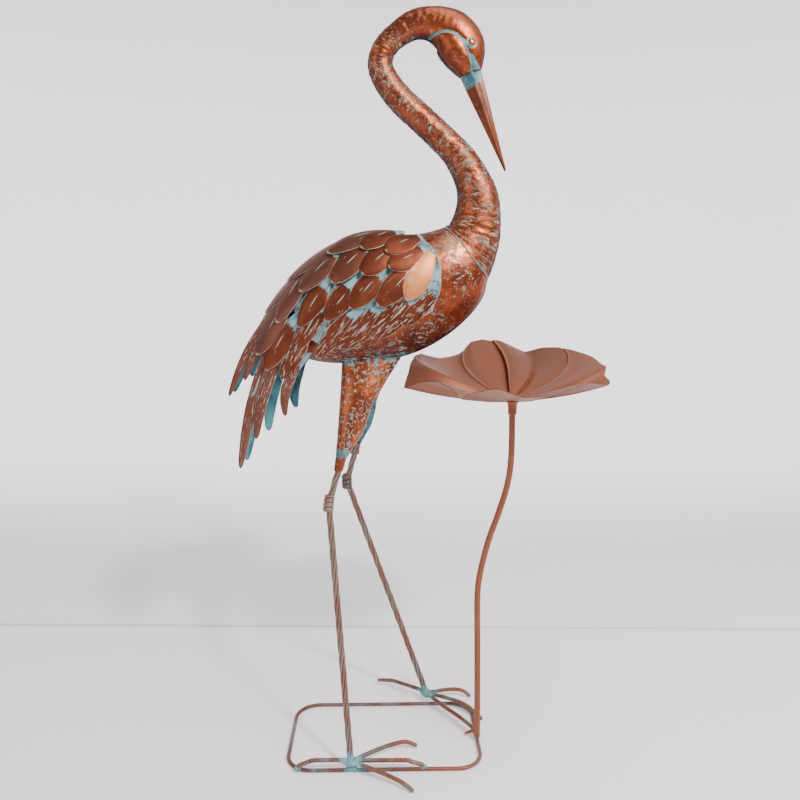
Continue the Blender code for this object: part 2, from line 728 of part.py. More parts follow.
def build():
    """Makes every piece of the statue."""
    clear_scene()
    collection = bpy.data.collections.new(NAME)
    bpy.context.scene.collection.children.link(collection)
    copper = material("copper_paint", (0.42, 0.13, 0.055), 0.38, 0.75)
    dark = material("dark_copper_paint", (0.30, 0.09, 0.045), 0.42, 0.70)
    patina = material("patina_paint", (0.22, 0.47, 0.48), 0.55, 0.20)
    wire = material("leg_wire_paint", (0.30, 0.20, 0.16), 0.45, 0.60)
    leaf = material("leaf_paint", (0.42, 0.19, 0.12), 0.50, 0.45)
    gold = material("eye_gold", (0.62, 0.42, 0.20), 0.25, 0.85)

    body = loft("body_shell", body_rings(), collection, copper)
    rings = neck_rings()
    head = loft("neck_and_head", rings, collection, copper)
    loft("beak", beak_rings(rings[-1]), collection, dark, 20)
    bpy.context.view_layer.update()
    head_surface, body_surface = surface_of(head), surface_of(body)

    for label, side in (("right", -1), ("left", 1)):
        eye(f"{label}_eye", side, head_surface, collection, gold)
        wing_plate(f"{label}_wing_plate", side, collection, patina)
        for number, tips in enumerate(FEATHER_TIPS, 1):
            back = (number - 1) / (len(FEATHER_TIPS) - 1)
            feather_ring(f"{label}_wing_feathers_{number}", tips, back, side, collection, dark)
        for number, (root, tip, width, angle) in enumerate(TAIL_FEATHERS, 1):
            name = f"{label}_tail_feather_{number}"
            tail_feather(name, root, tip, width, angle, side, collection, dark)
        lean = LEFT_THIGH_LEAN if label == "left" else 0.0
        thigh(f"{label}_thigh", side, lean, body_surface, collection, copper)
        leg(label, side, collection, {"wire": wire, "patina": patina})

    for name, (label, points) in TOES.items():
        toe(name, LEGS[label]["ankle"], points, collection, wire)

    eighth = math.tau / 8
    loop_height = ROD_RADIUS * math.cos(eighth / 2)
    loop_points = rounded_rectangle(LOOP_LOW, LOOP_HIGH, LOOP_CORNER, loop_height)
    loop = tube("base_loop", loop_points, ROD_RADIUS, collection, wire, cyclic=True, tilt=eighth / 2)
    meshed(loop, collection, wire)
    stem_points = smooth_points(STEM, 2)
    meshed(tube("stem", stem_points, STEM_RADIUS, collection, leaf), collection, leaf)
    stem_collar(collection, leaf)
    leaf_dish(collection, leaf)


build()
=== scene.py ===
import logging
import math
from dataclasses import dataclass, field
from enum import Enum

import bpy
import numpy as np
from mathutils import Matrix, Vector, noise


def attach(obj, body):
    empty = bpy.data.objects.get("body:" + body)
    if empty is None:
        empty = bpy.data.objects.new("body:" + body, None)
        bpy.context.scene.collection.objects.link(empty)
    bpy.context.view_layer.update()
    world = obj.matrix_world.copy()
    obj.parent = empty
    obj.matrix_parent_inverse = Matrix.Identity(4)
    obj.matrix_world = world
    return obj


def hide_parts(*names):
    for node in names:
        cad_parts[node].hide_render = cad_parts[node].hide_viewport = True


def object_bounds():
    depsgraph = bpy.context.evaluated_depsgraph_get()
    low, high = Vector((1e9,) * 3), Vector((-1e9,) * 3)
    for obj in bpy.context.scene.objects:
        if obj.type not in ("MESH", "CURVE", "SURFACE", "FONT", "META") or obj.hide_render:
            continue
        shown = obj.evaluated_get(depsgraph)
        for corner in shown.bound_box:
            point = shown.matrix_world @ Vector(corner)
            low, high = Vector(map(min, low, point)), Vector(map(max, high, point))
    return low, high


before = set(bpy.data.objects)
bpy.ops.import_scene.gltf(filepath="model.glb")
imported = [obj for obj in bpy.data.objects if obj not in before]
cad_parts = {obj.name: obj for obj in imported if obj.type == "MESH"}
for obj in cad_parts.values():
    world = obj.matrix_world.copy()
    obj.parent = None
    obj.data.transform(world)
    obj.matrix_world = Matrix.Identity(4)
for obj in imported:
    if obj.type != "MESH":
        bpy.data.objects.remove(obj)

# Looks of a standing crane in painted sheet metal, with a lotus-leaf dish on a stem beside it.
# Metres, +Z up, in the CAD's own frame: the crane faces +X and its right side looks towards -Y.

Array = np.ndarray
Colour = tuple[float, float, float]
Point = tuple[float, float, float]
Flat = tuple[float, float]

LOG = logging.getLogger("crane")
CAD_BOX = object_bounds()


class Side(Enum):
    """A side of the bird, as the sign of Y."""

    RIGHT = -1
    LEFT = 1

    @property
    def label(self) -> str:
        """The side's name as node names have it."""
        return self.name.lower()


class Slot(Enum):
    """Material slot names."""

    COPPER = "copper_paint"
    DARK_COPPER = "dark_copper_paint"
    PATINA = "patina_paint"
    WIRE = "leg_wire_paint"
    LEAF = "leaf_paint"
    GOLD = "eye_gold"


# Shader maths


class Wire:
    """A node's output. Arithmetic on it adds Math nodes."""

    def __init__(self, board: "Board", socket: bpy.types.NodeSocket) -> None:
        """Keeps the board and the socket."""
        self.board = board
        self.socket = socket

    def __add__(self, other: "Wire | float") -> "Wire":
        """Sum."""
        return self.board.maths("ADD", self, other)

    def __radd__(self, other: float) -> "Wire":
        """Sum, reflected."""
        return self.board.maths("ADD", other, self)

    def __sub__(self, other: "Wire | float") -> "Wire":
        """Difference."""
        return self.board.maths("SUBTRACT", self, other)

    def __rsub__(self, other: float) -> "Wire":
        """Difference, reflected."""
        return self.board.maths("SUBTRACT", other, self)

    def __mul__(self, other: "Wire | float") -> "Wire":
        """Product."""
        return self.board.maths("MULTIPLY", self, other)

    def __rmul__(self, other: float) -> "Wire":
        """Product, reflected."""
        return self.board.maths("MULTIPLY", other, self)

    def __abs__(self) -> "Wire":
        """Size without sign."""
        return self.board.maths("ABSOLUTE", self)

    def at_least(self, other: "Wire | float") -> "Wire":
        """The larger of the two."""
        return self.board.maths("MAXIMUM", self, other)

    def at_most(self, other: "Wire | float") -> "Wire":
        """The smaller of the two."""
        return self.board.maths("MINIMUM", self, other)

    def step(self, low: float, high: float) -> "Wire":
        """0 at low and 1 at high, with a smooth run between; low may be above high."""
        return self.board.step(self, low, high)


class Board:
    """The node tree of one finish."""

    def __init__(self, name: str) -> None:
        """Starts a material with its Principled shader."""
        self.material = bpy.data.materials.new(name)
        self.material.use_nodes = True
        self.tree = self.material.node_tree
        self.shader = self.tree.nodes["Principled BSDF"]

    def feed(self, socket: bpy.types.NodeSocket, value: "Wire | float | tuple") -> None:
        """Links or sets one socket.

        Args:
            socket: the input that takes the value.
            value: a wire, a number, or a colour or vector.
        """
        if isinstance(value, Wire):
            self.tree.links.new(value.socket, socket)
        elif isinstance(value, tuple) and socket.type == "RGBA":
            socket.default_value = (*value, 1.0)
        else:
            socket.default_value = value

    def node(self, kind: str, settings: dict | None = None, values: dict | None = None) -> bpy.types.Node:
        """Adds any node.

        Args:
            kind: the node's type.
            settings: its own settings, set first.
            values: what its sockets get, by name or number.

        Returns:
            The node.
        """
        made = self.tree.nodes.new(kind)
        for key, value in (settings or {}).items():
            setattr(made, key, value)
        for key, value in (values or {}).items():
            self.feed(made.inputs[key], value)
        return made

    def maths(self, operation: str, *values: "Wire | float") -> Wire:
        """One Math node's result."""
        made = self.node("ShaderNodeMath", {"operation": operation}, dict(enumerate(values)))
        return Wire(self, made.outputs[0])

    def step(self, value: "Wire | float", low: float, high: float) -> Wire:
        """A smooth step of a value from low to high."""
        made = self.node(
            "ShaderNodeMapRange",
            {"interpolation_type": "SMOOTHSTEP"},
            {0: value, 1: low, 2: high, 3: 0.0, 4: 1.0},
        )
        return Wire(self, made.outputs[0])

    def mix(
        self, share: "Wire | float", first: "Wire | Colour", second: "Wire | Colour", blend: str = "MIX"
    ) -> Wire:
        """Mixes two colours.

        Args:
            share: how much of the second colour there is.
            first: the colour at share 0.
            second: the colour at share 1.
            blend: the Mix node's blend type.

        Returns:
            The mixed colour.
        """
        settings = {"data_type": "RGBA", "blend_type": blend, "clamp_factor": True}
        made = self.node("ShaderNodeMix", settings, {0: share, 6: first, 7: second})
        return Wire(self, made.outputs[2])

    def place(self) -> Wire:
        """The point on the object, in metres."""
        return Wire(self, self.node("ShaderNodeTexCoord").outputs["Object"])

    def mark(self, name: str) -> Wire:
        """A number that the mesh carries under a name."""
        return Wire(self, self.node("ShaderNodeAttribute", {"attribute_name": name}).outputs["Fac"])

    def flow(self) -> Wire:
        """Metres along and round a piece, which the mesh carries."""
        return Wire(self, self.node("ShaderNodeAttribute", {"attribute_name": "flow"}).outputs["Vector"])

    def parts(self, vector: Wire) -> tuple[Wire, Wire, Wire]:
        """A vector's three numbers."""
        made = self.node("ShaderNodeSeparateXYZ", None, {0: vector})
        return Wire(self, made.outputs[0]), Wire(self, made.outputs[1]), Wire(self, made.outputs[2])

    def stretched(self, vector: Wire, x: float, y: float, z: float) -> Wire:
        """A vector scaled by three numbers."""
        made = self.node("ShaderNodeVectorMath", {"operation": "MULTIPLY"}, {0: vector, 1: (x, y, z)})
        return Wire(self, made.outputs[0])

    def noise(
        self, vector: Wire, scale: float, detail: float = 2.0, rough: float = 0.5, bend: float = 0.0
    ) -> Wire:
        """A noise texture's value.

        Args:
            vector: where it is read.
            scale: patches per metre.
            detail: layers of finer noise.
            rough: how strong the finer layers are.
            bend: distortion.

        Returns:
            A value about 0.5.
        """
        values = {"Vector": vector, "Scale": scale, "Detail": detail, "Roughness": rough, "Distortion": bend}
        return Wire(self, self.node("ShaderNodeTexNoise", None, values).outputs[0])

    def cells(self, vector: Wire, scale: float, feature: str = "F1") -> Wire:
        """The distance value of a Voronoi texture."""
        made = self.node("ShaderNodeTexVoronoi", {"feature": feature}, {"Vector": vector, "Scale": scale})
        return Wire(self, made.outputs["Distance"])

    def bump(self, height: Wire, depth: float, strength: float = 1.0) -> None:
        """Feeds a Bump node into the shader's normal."""
        values = {"Strength": strength, "Distance": depth, "Height": height}
        made = self.node("ShaderNodeBump", None, values)
        self.tree.links.new(made.outputs[0], self.shader.inputs["Normal"])

    def finish(self, **values: "Wire | float | Colour") -> bpy.types.Material:
        """Feeds the shader's sockets by name, with _ for a blank.

        Returns:
            The material.
        """
        for key, value in values.items():
            self.feed(self.shader.inputs[key.replace("_", " ")], value)
        return self.material


# Finishes


@dataclass(frozen=True)
class Patina:
    """Blue-green paint rubbed into the low places."""

    light: Colour = (0.19, 0.38, 0.42)
    deep: Colour = (0.065, 0.165, 0.185)
    chalk: Colour = (0.42, 0.46, 0.42)

    def colour(self, board: Board, where: Wire, chalky: float = 0.62, flow: "Wire | None" = None) -> Wire:
        """The patina's own colour.

        Args:
            board: the finish's nodes.
            where: the point on the object.
            chalky: the noise value above which it turns chalky.
            flow: the finish's own direction, for streaks of chalk along it.

        Returns:
            A colour.
        """
        cloud = board.noise(where, 55.0, 3.0, 0.6)
        if flow is None:
            fine = board.noise(where, 240.0, 2.0, 0.6)
        else:
            fine = board.noise(board.stretched(flow, 70.0, 420.0, 1.0), 1.0, 2.0, 0.6)
        tone = board.mix(cloud.step(0.34, 0.62), self.deep, self.light)
        return board.mix(fine.step(chalky, chalky + 0.12) * 0.8, tone, self.chalk)


@dataclass(frozen=True)
class HammeredCopper:
    """Copper paint over hammered sheet, with short wavy dabs of chalky patina, a painted highlight and
    painted shade.
    """

    name: str = "hammered_copper_paint"
    copper: Colour = (0.30, 0.070, 0.026)
    dark: Colour = (0.085, 0.022, 0.020)
    # The painted shade's colour.
    painted_shade: Colour = (0.030, 0.014, 0.017)
    glow: Colour = (0.48, 0.165, 0.070)
    patina: Patina = field(default_factory=Patina)
    dab_along: float = 150.0
    dab_around: float = 190.0
    dab_bend: float = 0.7
    dab_share: float = 0.625
    dent_scale: float = 105.0
    arc_strength: float = 0.8
    chalk_cool: Colour = (0.15, 0.27, 0.29)
    chalk_warm: Colour = (0.36, 0.35, 0.28)
    # The painted highlight's colour.
    glint: Colour = (0.62, 0.30, 0.17)
    zone_rough: float = 1.0

    def make(self) -> bpy.types.Material:
        """Builds the material."""
        board = Board(self.name)
        where, flow = board.place(), board.flow()
        broad = board.noise(where, 24.0, 3.0, 0.55)
        fine = board.noise(where, 170.0, 3.0, 0.65)
        tone = board.mix(0.45 + broad.step(0.36, 0.60) * 0.55, self.dark, self.copper)
        tone = board.mix(fine.step(0.50, 0.72) * 0.55, tone, self.glow)
        # Painted highlight: the mark glint lays the lighter glint colour where light falls.
        tone = board.mix(board.mark("glint") * broad.step(0.25, 0.60), tone, self.glint)
        # Painted shade: the mark shade darkens the copper toward grime and makes it less metallic.
        shade = board.mark("shade") + (fine - 0.5) * board.mark("shade") * 0.8
        tone = board.mix(shade, tone, self.painted_shade)
        spread = board.stretched(flow, self.dab_along, self.dab_around, 40.0)
        grain = board.noise(spread, 1.0, 1.5, 0.5, self.dab_bend)
        crowd = board.noise(where, 38.0, 1.0, 0.5)
        pull = board.mark("dabs") * 0.14 + (crowd - 0.5) * 0.22 - 0.07
        faint = (grain + pull).step(self.dab_share - 0.05, self.dab_share + 0.01)
        dab = (grain + pull).step(self.dab_share + 0.01, self.dab_share + 0.045)
        mark_edge = board.cells(where, self.dent_scale)
        gate = (board.noise(where, 150.0, 1.0) + pull).step(0.54, 0.60)
        arc = (1.0 - abs(mark_edge - 0.46).step(0.035, 0.10)) * gate * self.arc_strength
        dab = dab.at_least(arc)
        rough_edge = ((fine - 0.5) * 0.9 + (grain - 0.5) * 0.7) * self.zone_rough
        zone = (board.mark("patina") + rough_edge).step(0.46, 0.56)
        chalky = board.mix(board.noise(where, 90.0).step(0.40, 0.62), self.chalk_cool, self.chalk_warm)
        cover = dab.at_least(zone)
        colour = board.mix(dab.at_least(faint * 0.25) * 0.80, tone, chalky)
        colour = board.mix(zone, colour, self.patina.colour(board, where))
        board.bump(fine * 0.5 + dab * 0.5 - zone * 0.2, 0.0010, 0.9)
        return board.finish(
            Base_Color=colour,
            Metallic=(0.90 - cover * 0.80) * (1.0 - shade),
            Roughness=0.31 + fine * 0.12 + cover * 0.25 + shade * 0.25,
            Specular_IOR_Level=0.08,
        )


@dataclass(frozen=True)
class FeatherCopper:
    """Smooth copper paint on a cut feather: worn rim, chalky quill dash, patina at the root, and a painted
    highlight.
    """

    name: str = "feather_copper_paint"
    copper: Colour = (0.172, 0.046, 0.020)
    dark: Colour = (0.120, 0.030, 0.016)
    # The painted highlight's colour.
    light: Colour = (0.66, 0.24, 0.09)
    dusk: Colour = (0.200, 0.105, 0.082)
    rim: Colour = (0.46, 0.36, 0.28)
    under: Colour = (0.090, 0.270, 0.300)
    under_dark: Colour = (0.022, 0.070, 0.090)
    # The painted highlight's lightest colour.
    glint: Colour = (0.92, 0.72, 0.46)
    patina: Patina = field(default_factory=Patina)
    quill_width: float = 0.00075

    def make(self) -> bpy.types.Material:
        """Builds the material."""
        board = Board(self.name)
        where, flow = board.place(), board.flow()
        along, across, _ = board.parts(flow)
        broad = board.noise(where, 35.0, 3.0, 0.55)
        fine = board.noise(board.stretched(flow, 110.0, 420.0, 1.0), 1.0, 3.0, 0.6)
        tone = board.mix(broad.step(0.38, 0.66), self.dark, self.copper)
        # Painted highlight: the marks bright and glint turn the copper to the light and glint colours.
        lit = board.mix((broad + (fine - 0.5) * 0.4).step(0.40, 0.62), self.light, self.glint)
        highlight_tone = board.mix(board.mark("glint"), self.light, lit)
        tone = board.mix(board.mark("bright").at_most(1.0), tone, highlight_tone)
        tone = board.mix(board.mark("grey") * 0.7, tone, self.dusk)
        rim = (board.mark("rim") + (fine - 0.5) * 0.5).step(0.66, 0.90)
        tone = board.mix(rim * 0.75, tone, self.rim)
        drift = (fine - 0.5) * 0.0012
        off_line = abs(across + drift) * (1.0 / self.quill_width)
        quill = (1.0 - off_line.step(0.5, 1.1)) * board.mark("quill")
        flecks = board.noise(board.stretched(flow, 95.0, 620.0, 3.0), 1.0, 2.0, 0.5)
        streak = (flecks + board.mark("streak") * 0.13 - 0.12).step(0.59, 0.64)
        zone = (board.mark("patina") + (fine - 0.5) * 0.6 + (broad - 0.5) * 0.3).step(0.44, 0.56)
        pale = quill.at_least(streak)
        chalk = board.mix(broad.step(0.4, 0.6), (0.50, 0.45, 0.35), (0.26, 0.38, 0.39))
        colour = board.mix(pale * 0.72, tone, chalk)
        colour = board.mix(zone, colour, self.patina.colour(board, where, 0.54, flow))
        dull = (board.noise(where, 22.0, 2.0) + (along - 0.06) * 2.0).step(0.36, 0.62)
        back = board.mix(dull, self.under_dark, self.under)
        colour = board.mix(board.mark("under"), colour, back)
        board.bump(fine * 0.25 + pale * 0.4, 0.0005, 0.8)
        bare = 1.0 - pale.at_least(zone).at_least(board.mark("under"))
        return board.finish(
            Base_Color=colour,
            Metallic=bare * 0.74,
            Roughness=0.62 - bare * 0.17 + fine * 0.10,
            Specular_IOR_Level=0.15,
        )


@dataclass(frozen=True)
class PatinaSheet:
    """The wing plate: patina all over, streaked, with a worn rim."""

    name: str = "patina_sheet_paint"
    patina: Patina = field(default_factory=Patina)
    copper: Colour = (0.25, 0.070, 0.032)
    edge: Colour = (0.40, 0.40, 0.33)

    def make(self) -> bpy.types.Material:
        """Builds the material."""
        board = Board(self.name)
        where, flow = board.place(), board.flow()
        broad = board.noise(where, 60.0, 3.0, 0.6)
        fine = board.noise(board.stretched(flow, 90.0, 300.0, 1.0), 1.0, 3.0, 0.6)
        colour = self.patina.colour(board, where, 0.50, flow)
        worn = (board.mark("worn") + (fine - 0.5) * 0.6).step(0.45, 0.60)
        patch = (broad + (fine - 0.5) * 0.5).step(0.55, 0.62)
        colour = board.mix(patch, colour, self.copper)
        colour = board.mix(worn * 0.85, colour, self.edge)
        board.bump(fine, 0.0005, 0.7)
        return board.finish(Base_Color=colour, Metallic=0.15 + patch * 0.5, Roughness=0.50 + fine * 0.15)


@dataclass(frozen=True)
class WireSteel:
    """Dull brown-grey paint on rods and wires, with patina at the welds, copper where rubbed, and painted
    shade by the mark shade.
    """

    name: str
    brown: Colour = (0.20, 0.100, 0.078)
    grey: Colour = (0.20, 0.180, 0.165)
    copper: Colour = (0.30, 0.090, 0.038)
    hollow_shade: Colour = (0.030, 0.020, 0.017)
    patina: Patina = field(default_factory=Patina)
    grain: float = 30.0

    def make(self) -> bpy.types.Material:
        """Builds the material."""
        board = Board(self.name)
        where = board.place()
        broad = board.noise(where, self.grain, 2.0, 0.5)
        fine = board.noise(where, 420.0, 3.0, 0.6)
        tone = board.mix((broad + (fine - 0.5) * 0.3).step(0.42, 0.60), self.brown, self.grey)
        tone = board.mix(board.mark("copper") * fine.step(0.2, 0.5), tone, self.copper)
        zone = (board.mark("patina") + (fine - 0.5) * 0.5).step(0.40, 0.60)
        colour = board.mix(zone, tone, self.patina.colour(board, where, 0.60))
        # Painted shade: the mark shade darkens toward hollow.
        colour = board.mix(board.mark("shade"), colour, self.hollow_shade)
        board.bump(fine, 0.0004, 0.8)
        rough = 0.42 + fine * 0.15 + zone * 0.12
        return board.finish(Base_Color=colour, Metallic=0.55 - zone * 0.45, Roughness=rough)


@dataclass(frozen=True)
class LeafPaint:
    """Matt copper-brown paint, with painted shadow along the petal creases and painted highlight along the
    raised petal edges.
    """

    name: str = "leaf_matt_paint"
    brown: Colour = (0.250, 0.076, 0.038)
    clay: Colour = (0.195, 0.080, 0.050)
    dark: Colour = (0.060, 0.018, 0.012)
    light: Colour = (0.50, 0.185, 0.090)

    def make(self) -> bpy.types.Material:
        """Builds the material."""
        board = Board(self.name)
        where = board.place()
        broad = board.noise(where, 14.0, 3.0, 0.55)
        fine = board.noise(where, 500.0, 2.0, 0.6)
        tone = board.mix(broad.step(0.36, 0.66), self.brown, self.clay)
        # Painted shadow in the creases, under the neighbouring petal's edge.
        tone = board.mix(board.mark("fold"), tone, self.dark)
        # Painted highlight along the raised petal edges.
        tone = board.mix(board.mark("crest"), tone, self.light)
        board.bump(fine, 0.0003, 0.5)
        rough = 0.44 + fine * 0.12
        return board.finish(Base_Color=tone, Metallic=0.35, Roughness=rough, Specular_IOR_Level=0.30)


@dataclass(frozen=True)
class GoldPaint:
    """Glossy gold paint on the eye beads, with patina round the foot."""

    name: str = "eye_gold_paint"
    gold: Colour = (0.40, 0.200, 0.070)
    patina: Patina = field(default_factory=Patina)

    def make(self) -> bpy.types.Material:
        """Builds the material."""
        board = Board(self.name)
        where = board.place()
        fine = board.noise(where, 600.0, 2.0, 0.6)
        foot = (board.mark("patina") + (fine - 0.5) * 0.4).step(0.45, 0.60)
        colour = board.mix(foot, self.gold, self.patina.colour(board, where))
        return board.finish(Base_Color=colour, Metallic=0.9 - foot * 0.8, Roughness=0.24 + fine * 0.10)


@dataclass(frozen=True)
class StagePaint:
    """The floor and backdrop. They glow as well as take light: dimly and with a darker paint in front and at
    the sides, and strongly behind the statue, by the mark "rear".
    """

    name: str
    colour: Colour
    near_glow: float
    rear_glow: float
    dim: float = 0.25
    pale_from: float = 0.20
    rough: float = 0.8

    def make(self) -> bpy.types.Material:
        """Builds the material."""
        board = Board(self.name)
        cloud = board.noise(board.place(), 2.0, 2.0, 0.5)
        tone = board.mix(cloud, self.colour, tuple(c * 0.97 for c in self.colour))
        pale = board.mark("rear").step(0.0, self.pale_from)
        tone = board.mix(pale, tuple(c * self.dim for c in self.colour), tone)
        near, rear = (tuple(c * glow for c in self.colour) for glow in (self.near_glow, self.rear_glow))
        glow = board.mix(board.mark("rear"), near, rear)
        return board.finish(
            Base_Color=tone, Roughness=self.rough, Emission_Color=glow, Emission_Strength=1.0
        )


# Meshes


@dataclass
class Shape:
    """Points, faces and the numbers that the points carry."""

    points: Array
    faces: list[tuple[int, ...]]
    marks: dict[str, Array] = field(default_factory=dict)

    @staticmethod
    def joined(shapes: "list[Shape]") -> "Shape":
        """Several shapes as one, with 0 for a mark that a shape doesn't carry."""
        names = sorted({name for shape in shapes for name in shape.marks})
        points = np.vstack([shape.points for shape in shapes])
        faces, base = [], 0
        for shape in shapes:
            faces += [tuple(i + base for i in face) for face in shape.faces]
            base += len(shape.points)
        marks = {}
        for name in names:
            wide = 3 if name == "flow" else 1
            parts = []
            for shape in shapes:
                got = shape.marks.get(name)
                parts.append(np.zeros((len(shape.points), wide)) if got is None else got.reshape(-1, wide))
            marks[name] = np.vstack(parts)
        return Shape(points, faces, marks)


@dataclass
class Workshop:
    """Puts finished pieces into the scene and ties each to the CAD."""

    materials: dict[str, bpy.types.Material] = field(default_factory=dict)
    made: list[str] = field(default_factory=list)

    def paint(self, finish: object) -> bpy.types.Material:
        """The material of a finish, made once."""
        if finish.name not in self.materials:
            self.materials[finish.name] = finish.make()
        return self.materials[finish.name]

    def mesh(self, name: str, shape: Shape, finish: object, sharp: float = 40.0) -> bpy.types.Object:
        """Makes a mesh object.

        Args:
            name: the piece's name.
            shape: its points, faces and marks.
            finish: what it is painted with.
            sharp: edges with a wider angle than this many degrees stay sharp.

        Returns:
            The object.
        """
        data = bpy.data.meshes.new(name)
        data.from_pydata(shape.points.tolist(), [], shape.faces)
        for mark, values in shape.marks.items():
            vector = mark == "flow"
            layer = data.attributes.new(mark, "FLOAT_VECTOR" if vector else "FLOAT", "POINT")
            layer.data.foreach_set("vector" if vector else "value", values.astype(np.float32).ravel())
        data.shade_smooth()
        data.set_sharp_from_angle(angle=math.radians(sharp))
        data.materials.append(self.paint(finish))
        made = bpy.data.objects.new(name, data)
        bpy.context.scene.collection.objects.link(made)
        return made

    def add(
        self, name: str, shape: Shape, finish: object, slot: Slot, *nodes: str, sharp: float = 40.0
    ) -> None:
        """Makes a piece that rides on the statue and stands for CAD nodes.

        Args:
            name: the piece's name.
            shape: its points, faces and marks.
            finish: what it is painted with.
            slot: not used.
            nodes: the CAD nodes that it stands for.
            sharp: edges with a wider angle than this many degrees stay sharp.
        """
        made = self.mesh(name, shape, finish, sharp)
        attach(made, "root")
        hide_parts(*nodes)
        self.made.append(name)
        points, faces = len(shape.points), len(shape.faces)
        LOG.info("%s: %d points, %d faces, for %s", name, points, faces, ", ".join(nodes))


def smooth_rows(rows: Array, t: Array) -> Array:
    """Reads rows of numbers smoothly.

    Args:
        rows: one row for each whole t.
        t: where to read; past either end the rows run on straight.

    Returns:
        One row for each t.
    """
    last = len(rows) - 1
    i = np.clip(np.floor(t).astype(int), 0, last - 1)
    f = (t - i)[:, None]
    a, b, c, d = rows[np.maximum(i - 1, 0)], rows[i], rows[i + 1], rows[np.minimum(i + 2, last)]
    curve = b + 0.5 * f * (c - a + f * (2 * a - 5 * b + 4 * c - d + f * (3 * (b - c) + d - a)))
    outside = ((t < 0) | (t > last))[:, None]
    return np.where(outside, b + (c - b) * f, curve)


def unit(vectors: Array) -> Array:
    """Vectors of length one."""
    return vectors / np.maximum(np.linalg.norm(vectors, axis=-1, keepdims=True), 1e-12)


def eased(values: Array | float, low: float, high: float) -> Array:
    """0 below low and 1 above high, with a smooth run between."""
    share = np.clip((np.asarray(values, float) - low) / (high - low), 0.0, 1.0)
    return share * share * (3 - 2 * share)


def speckle(points: Array, scale: float, seed: float = 0.0) -> Array:
    """Smooth noise from -1 to 1 at each point."""
    shift = Vector((seed, seed * 0.7, -seed))
    flat = [noise.noise(Vector(p) * scale + shift) for p in points.reshape(-1, 3)]
    return np.array(flat).reshape(points.shape[:-1])


def dimples(points: Array, size: float) -> Array:
    """Round hammer marks of about that size: 0 in the middle of a mark and 1 between marks."""
    flat = [noise.voronoi(Vector(p) / size)[0][0] for p in points.reshape(-1, 3)]
    return np.clip(np.array(flat).reshape(points.shape[:-1]), 0.0, 1.0)


def grid_faces(rows: int, columns: int, closed: bool = False, base: int = 0) -> list[tuple[int, ...]]:
    """Four-cornered faces of a grid of points.

    Args:
        rows: how many rows of points.
        columns: how many points in a row.
        closed: whether the last column joins the first.
        base: the first point's number.

    Returns:
        The faces.
    """
    faces = []
    for r in range(rows - 1):
        for c in range(columns if closed else columns - 1):
            n = (c + 1) % columns
            a, b = base + r * columns, base + (r + 1) * columns
            faces.append((a + c, a + n, b + n, b + c))
    return faces


def grid_normals(grid: Array, closed: bool = False) -> Array:
    """The normal at each point of a grid, from its neighbours."""
    down = np.gradient(grid, axis=0)
    if closed:
        over = np.roll(grid, -1, axis=1) - np.roll(grid, 1, axis=1)
    else:
        over = np.gradient(grid, axis=1)
    return unit(np.cross(over, down))


def loft(grid: Array, marks: dict[str, Array] | None = None) -> Shape:
    """A closed body through rings of points, with flat ends."""
    rows, columns = grid.shape[:2]
    faces = grid_faces(rows, columns, True)
    faces.append(tuple(reversed(range(columns))))
    faces.append(tuple(range((rows - 1) * columns, rows * columns)))
    flat = {name: values.reshape(rows * columns, -1) for name, values in (marks or {}).items()}
    return Shape(grid.reshape(-1, 3), faces, flat)


def plate(grid: Array, thickness: float, marks: dict[str, Array] | None = None) -> Shape:
    """A thin sheet: the grid is its outer face, and the inner face lies a thickness behind.

    Args:
        grid: rows of points, whose normals point out.
        thickness: the sheet's thickness.
        marks: numbers on the grid's points; the inner face gets the same and under 1.

    Returns:
        A closed shape.
    """
    rows, columns = grid.shape[:2]
    count = rows * columns
    inner = grid - grid_normals(grid) * thickness
    faces = grid_faces(rows, columns)
    faces += [tuple(reversed(face)) for face in grid_faces(rows, columns, False, count)]
    edge = [c for c in range(columns)]
    edge += [r * columns + columns - 1 for r in range(1, rows)]
    edge += [(rows - 1) * columns + c for c in range(columns - 2, -1, -1)]
    edge += [r * columns for r in range(rows - 2, 0, -1)]
    for a, b in zip(edge, edge[1:] + edge[:1]):
        faces.append((b, a, a + count, b + count))
    flat = {}
    for name, values in (marks or {}).items():
        values = values.reshape(count, -1)
        flat[name] = np.vstack([values, values])
    flat["under"] = np.concatenate([np.zeros(count), np.ones(count)])[:, None]
    return Shape(np.vstack([grid.reshape(-1, 3), inner.reshape(-1, 3)]), faces, flat)


def run_frames(path: Array, closed: bool = False) -> tuple[Array, Array, Array]:
    """Directions along, up and across a path, carried on without twist.

    Args:
        path: points.
        closed: whether the path comes back to its start.

    Returns:
        Along, up and across, one row for each point.
    """
    if closed:
        along = unit(np.roll(path, -1, axis=0) - np.roll(path, 1, axis=0))
    else:
        along = unit(np.gradient(path, axis=0))
    up = np.zeros_like(path)
    start = np.array((0.0, 0.0, 1.0)) if abs(along[0][2]) < 0.8 else np.array((0.0, 1.0, 0.0))
    for i, run in enumerate(along):
        start = start - run * np.dot(start, run)
        start = start / np.linalg.norm(start)
        up[i] = start
    return along, up, np.cross(along, up)


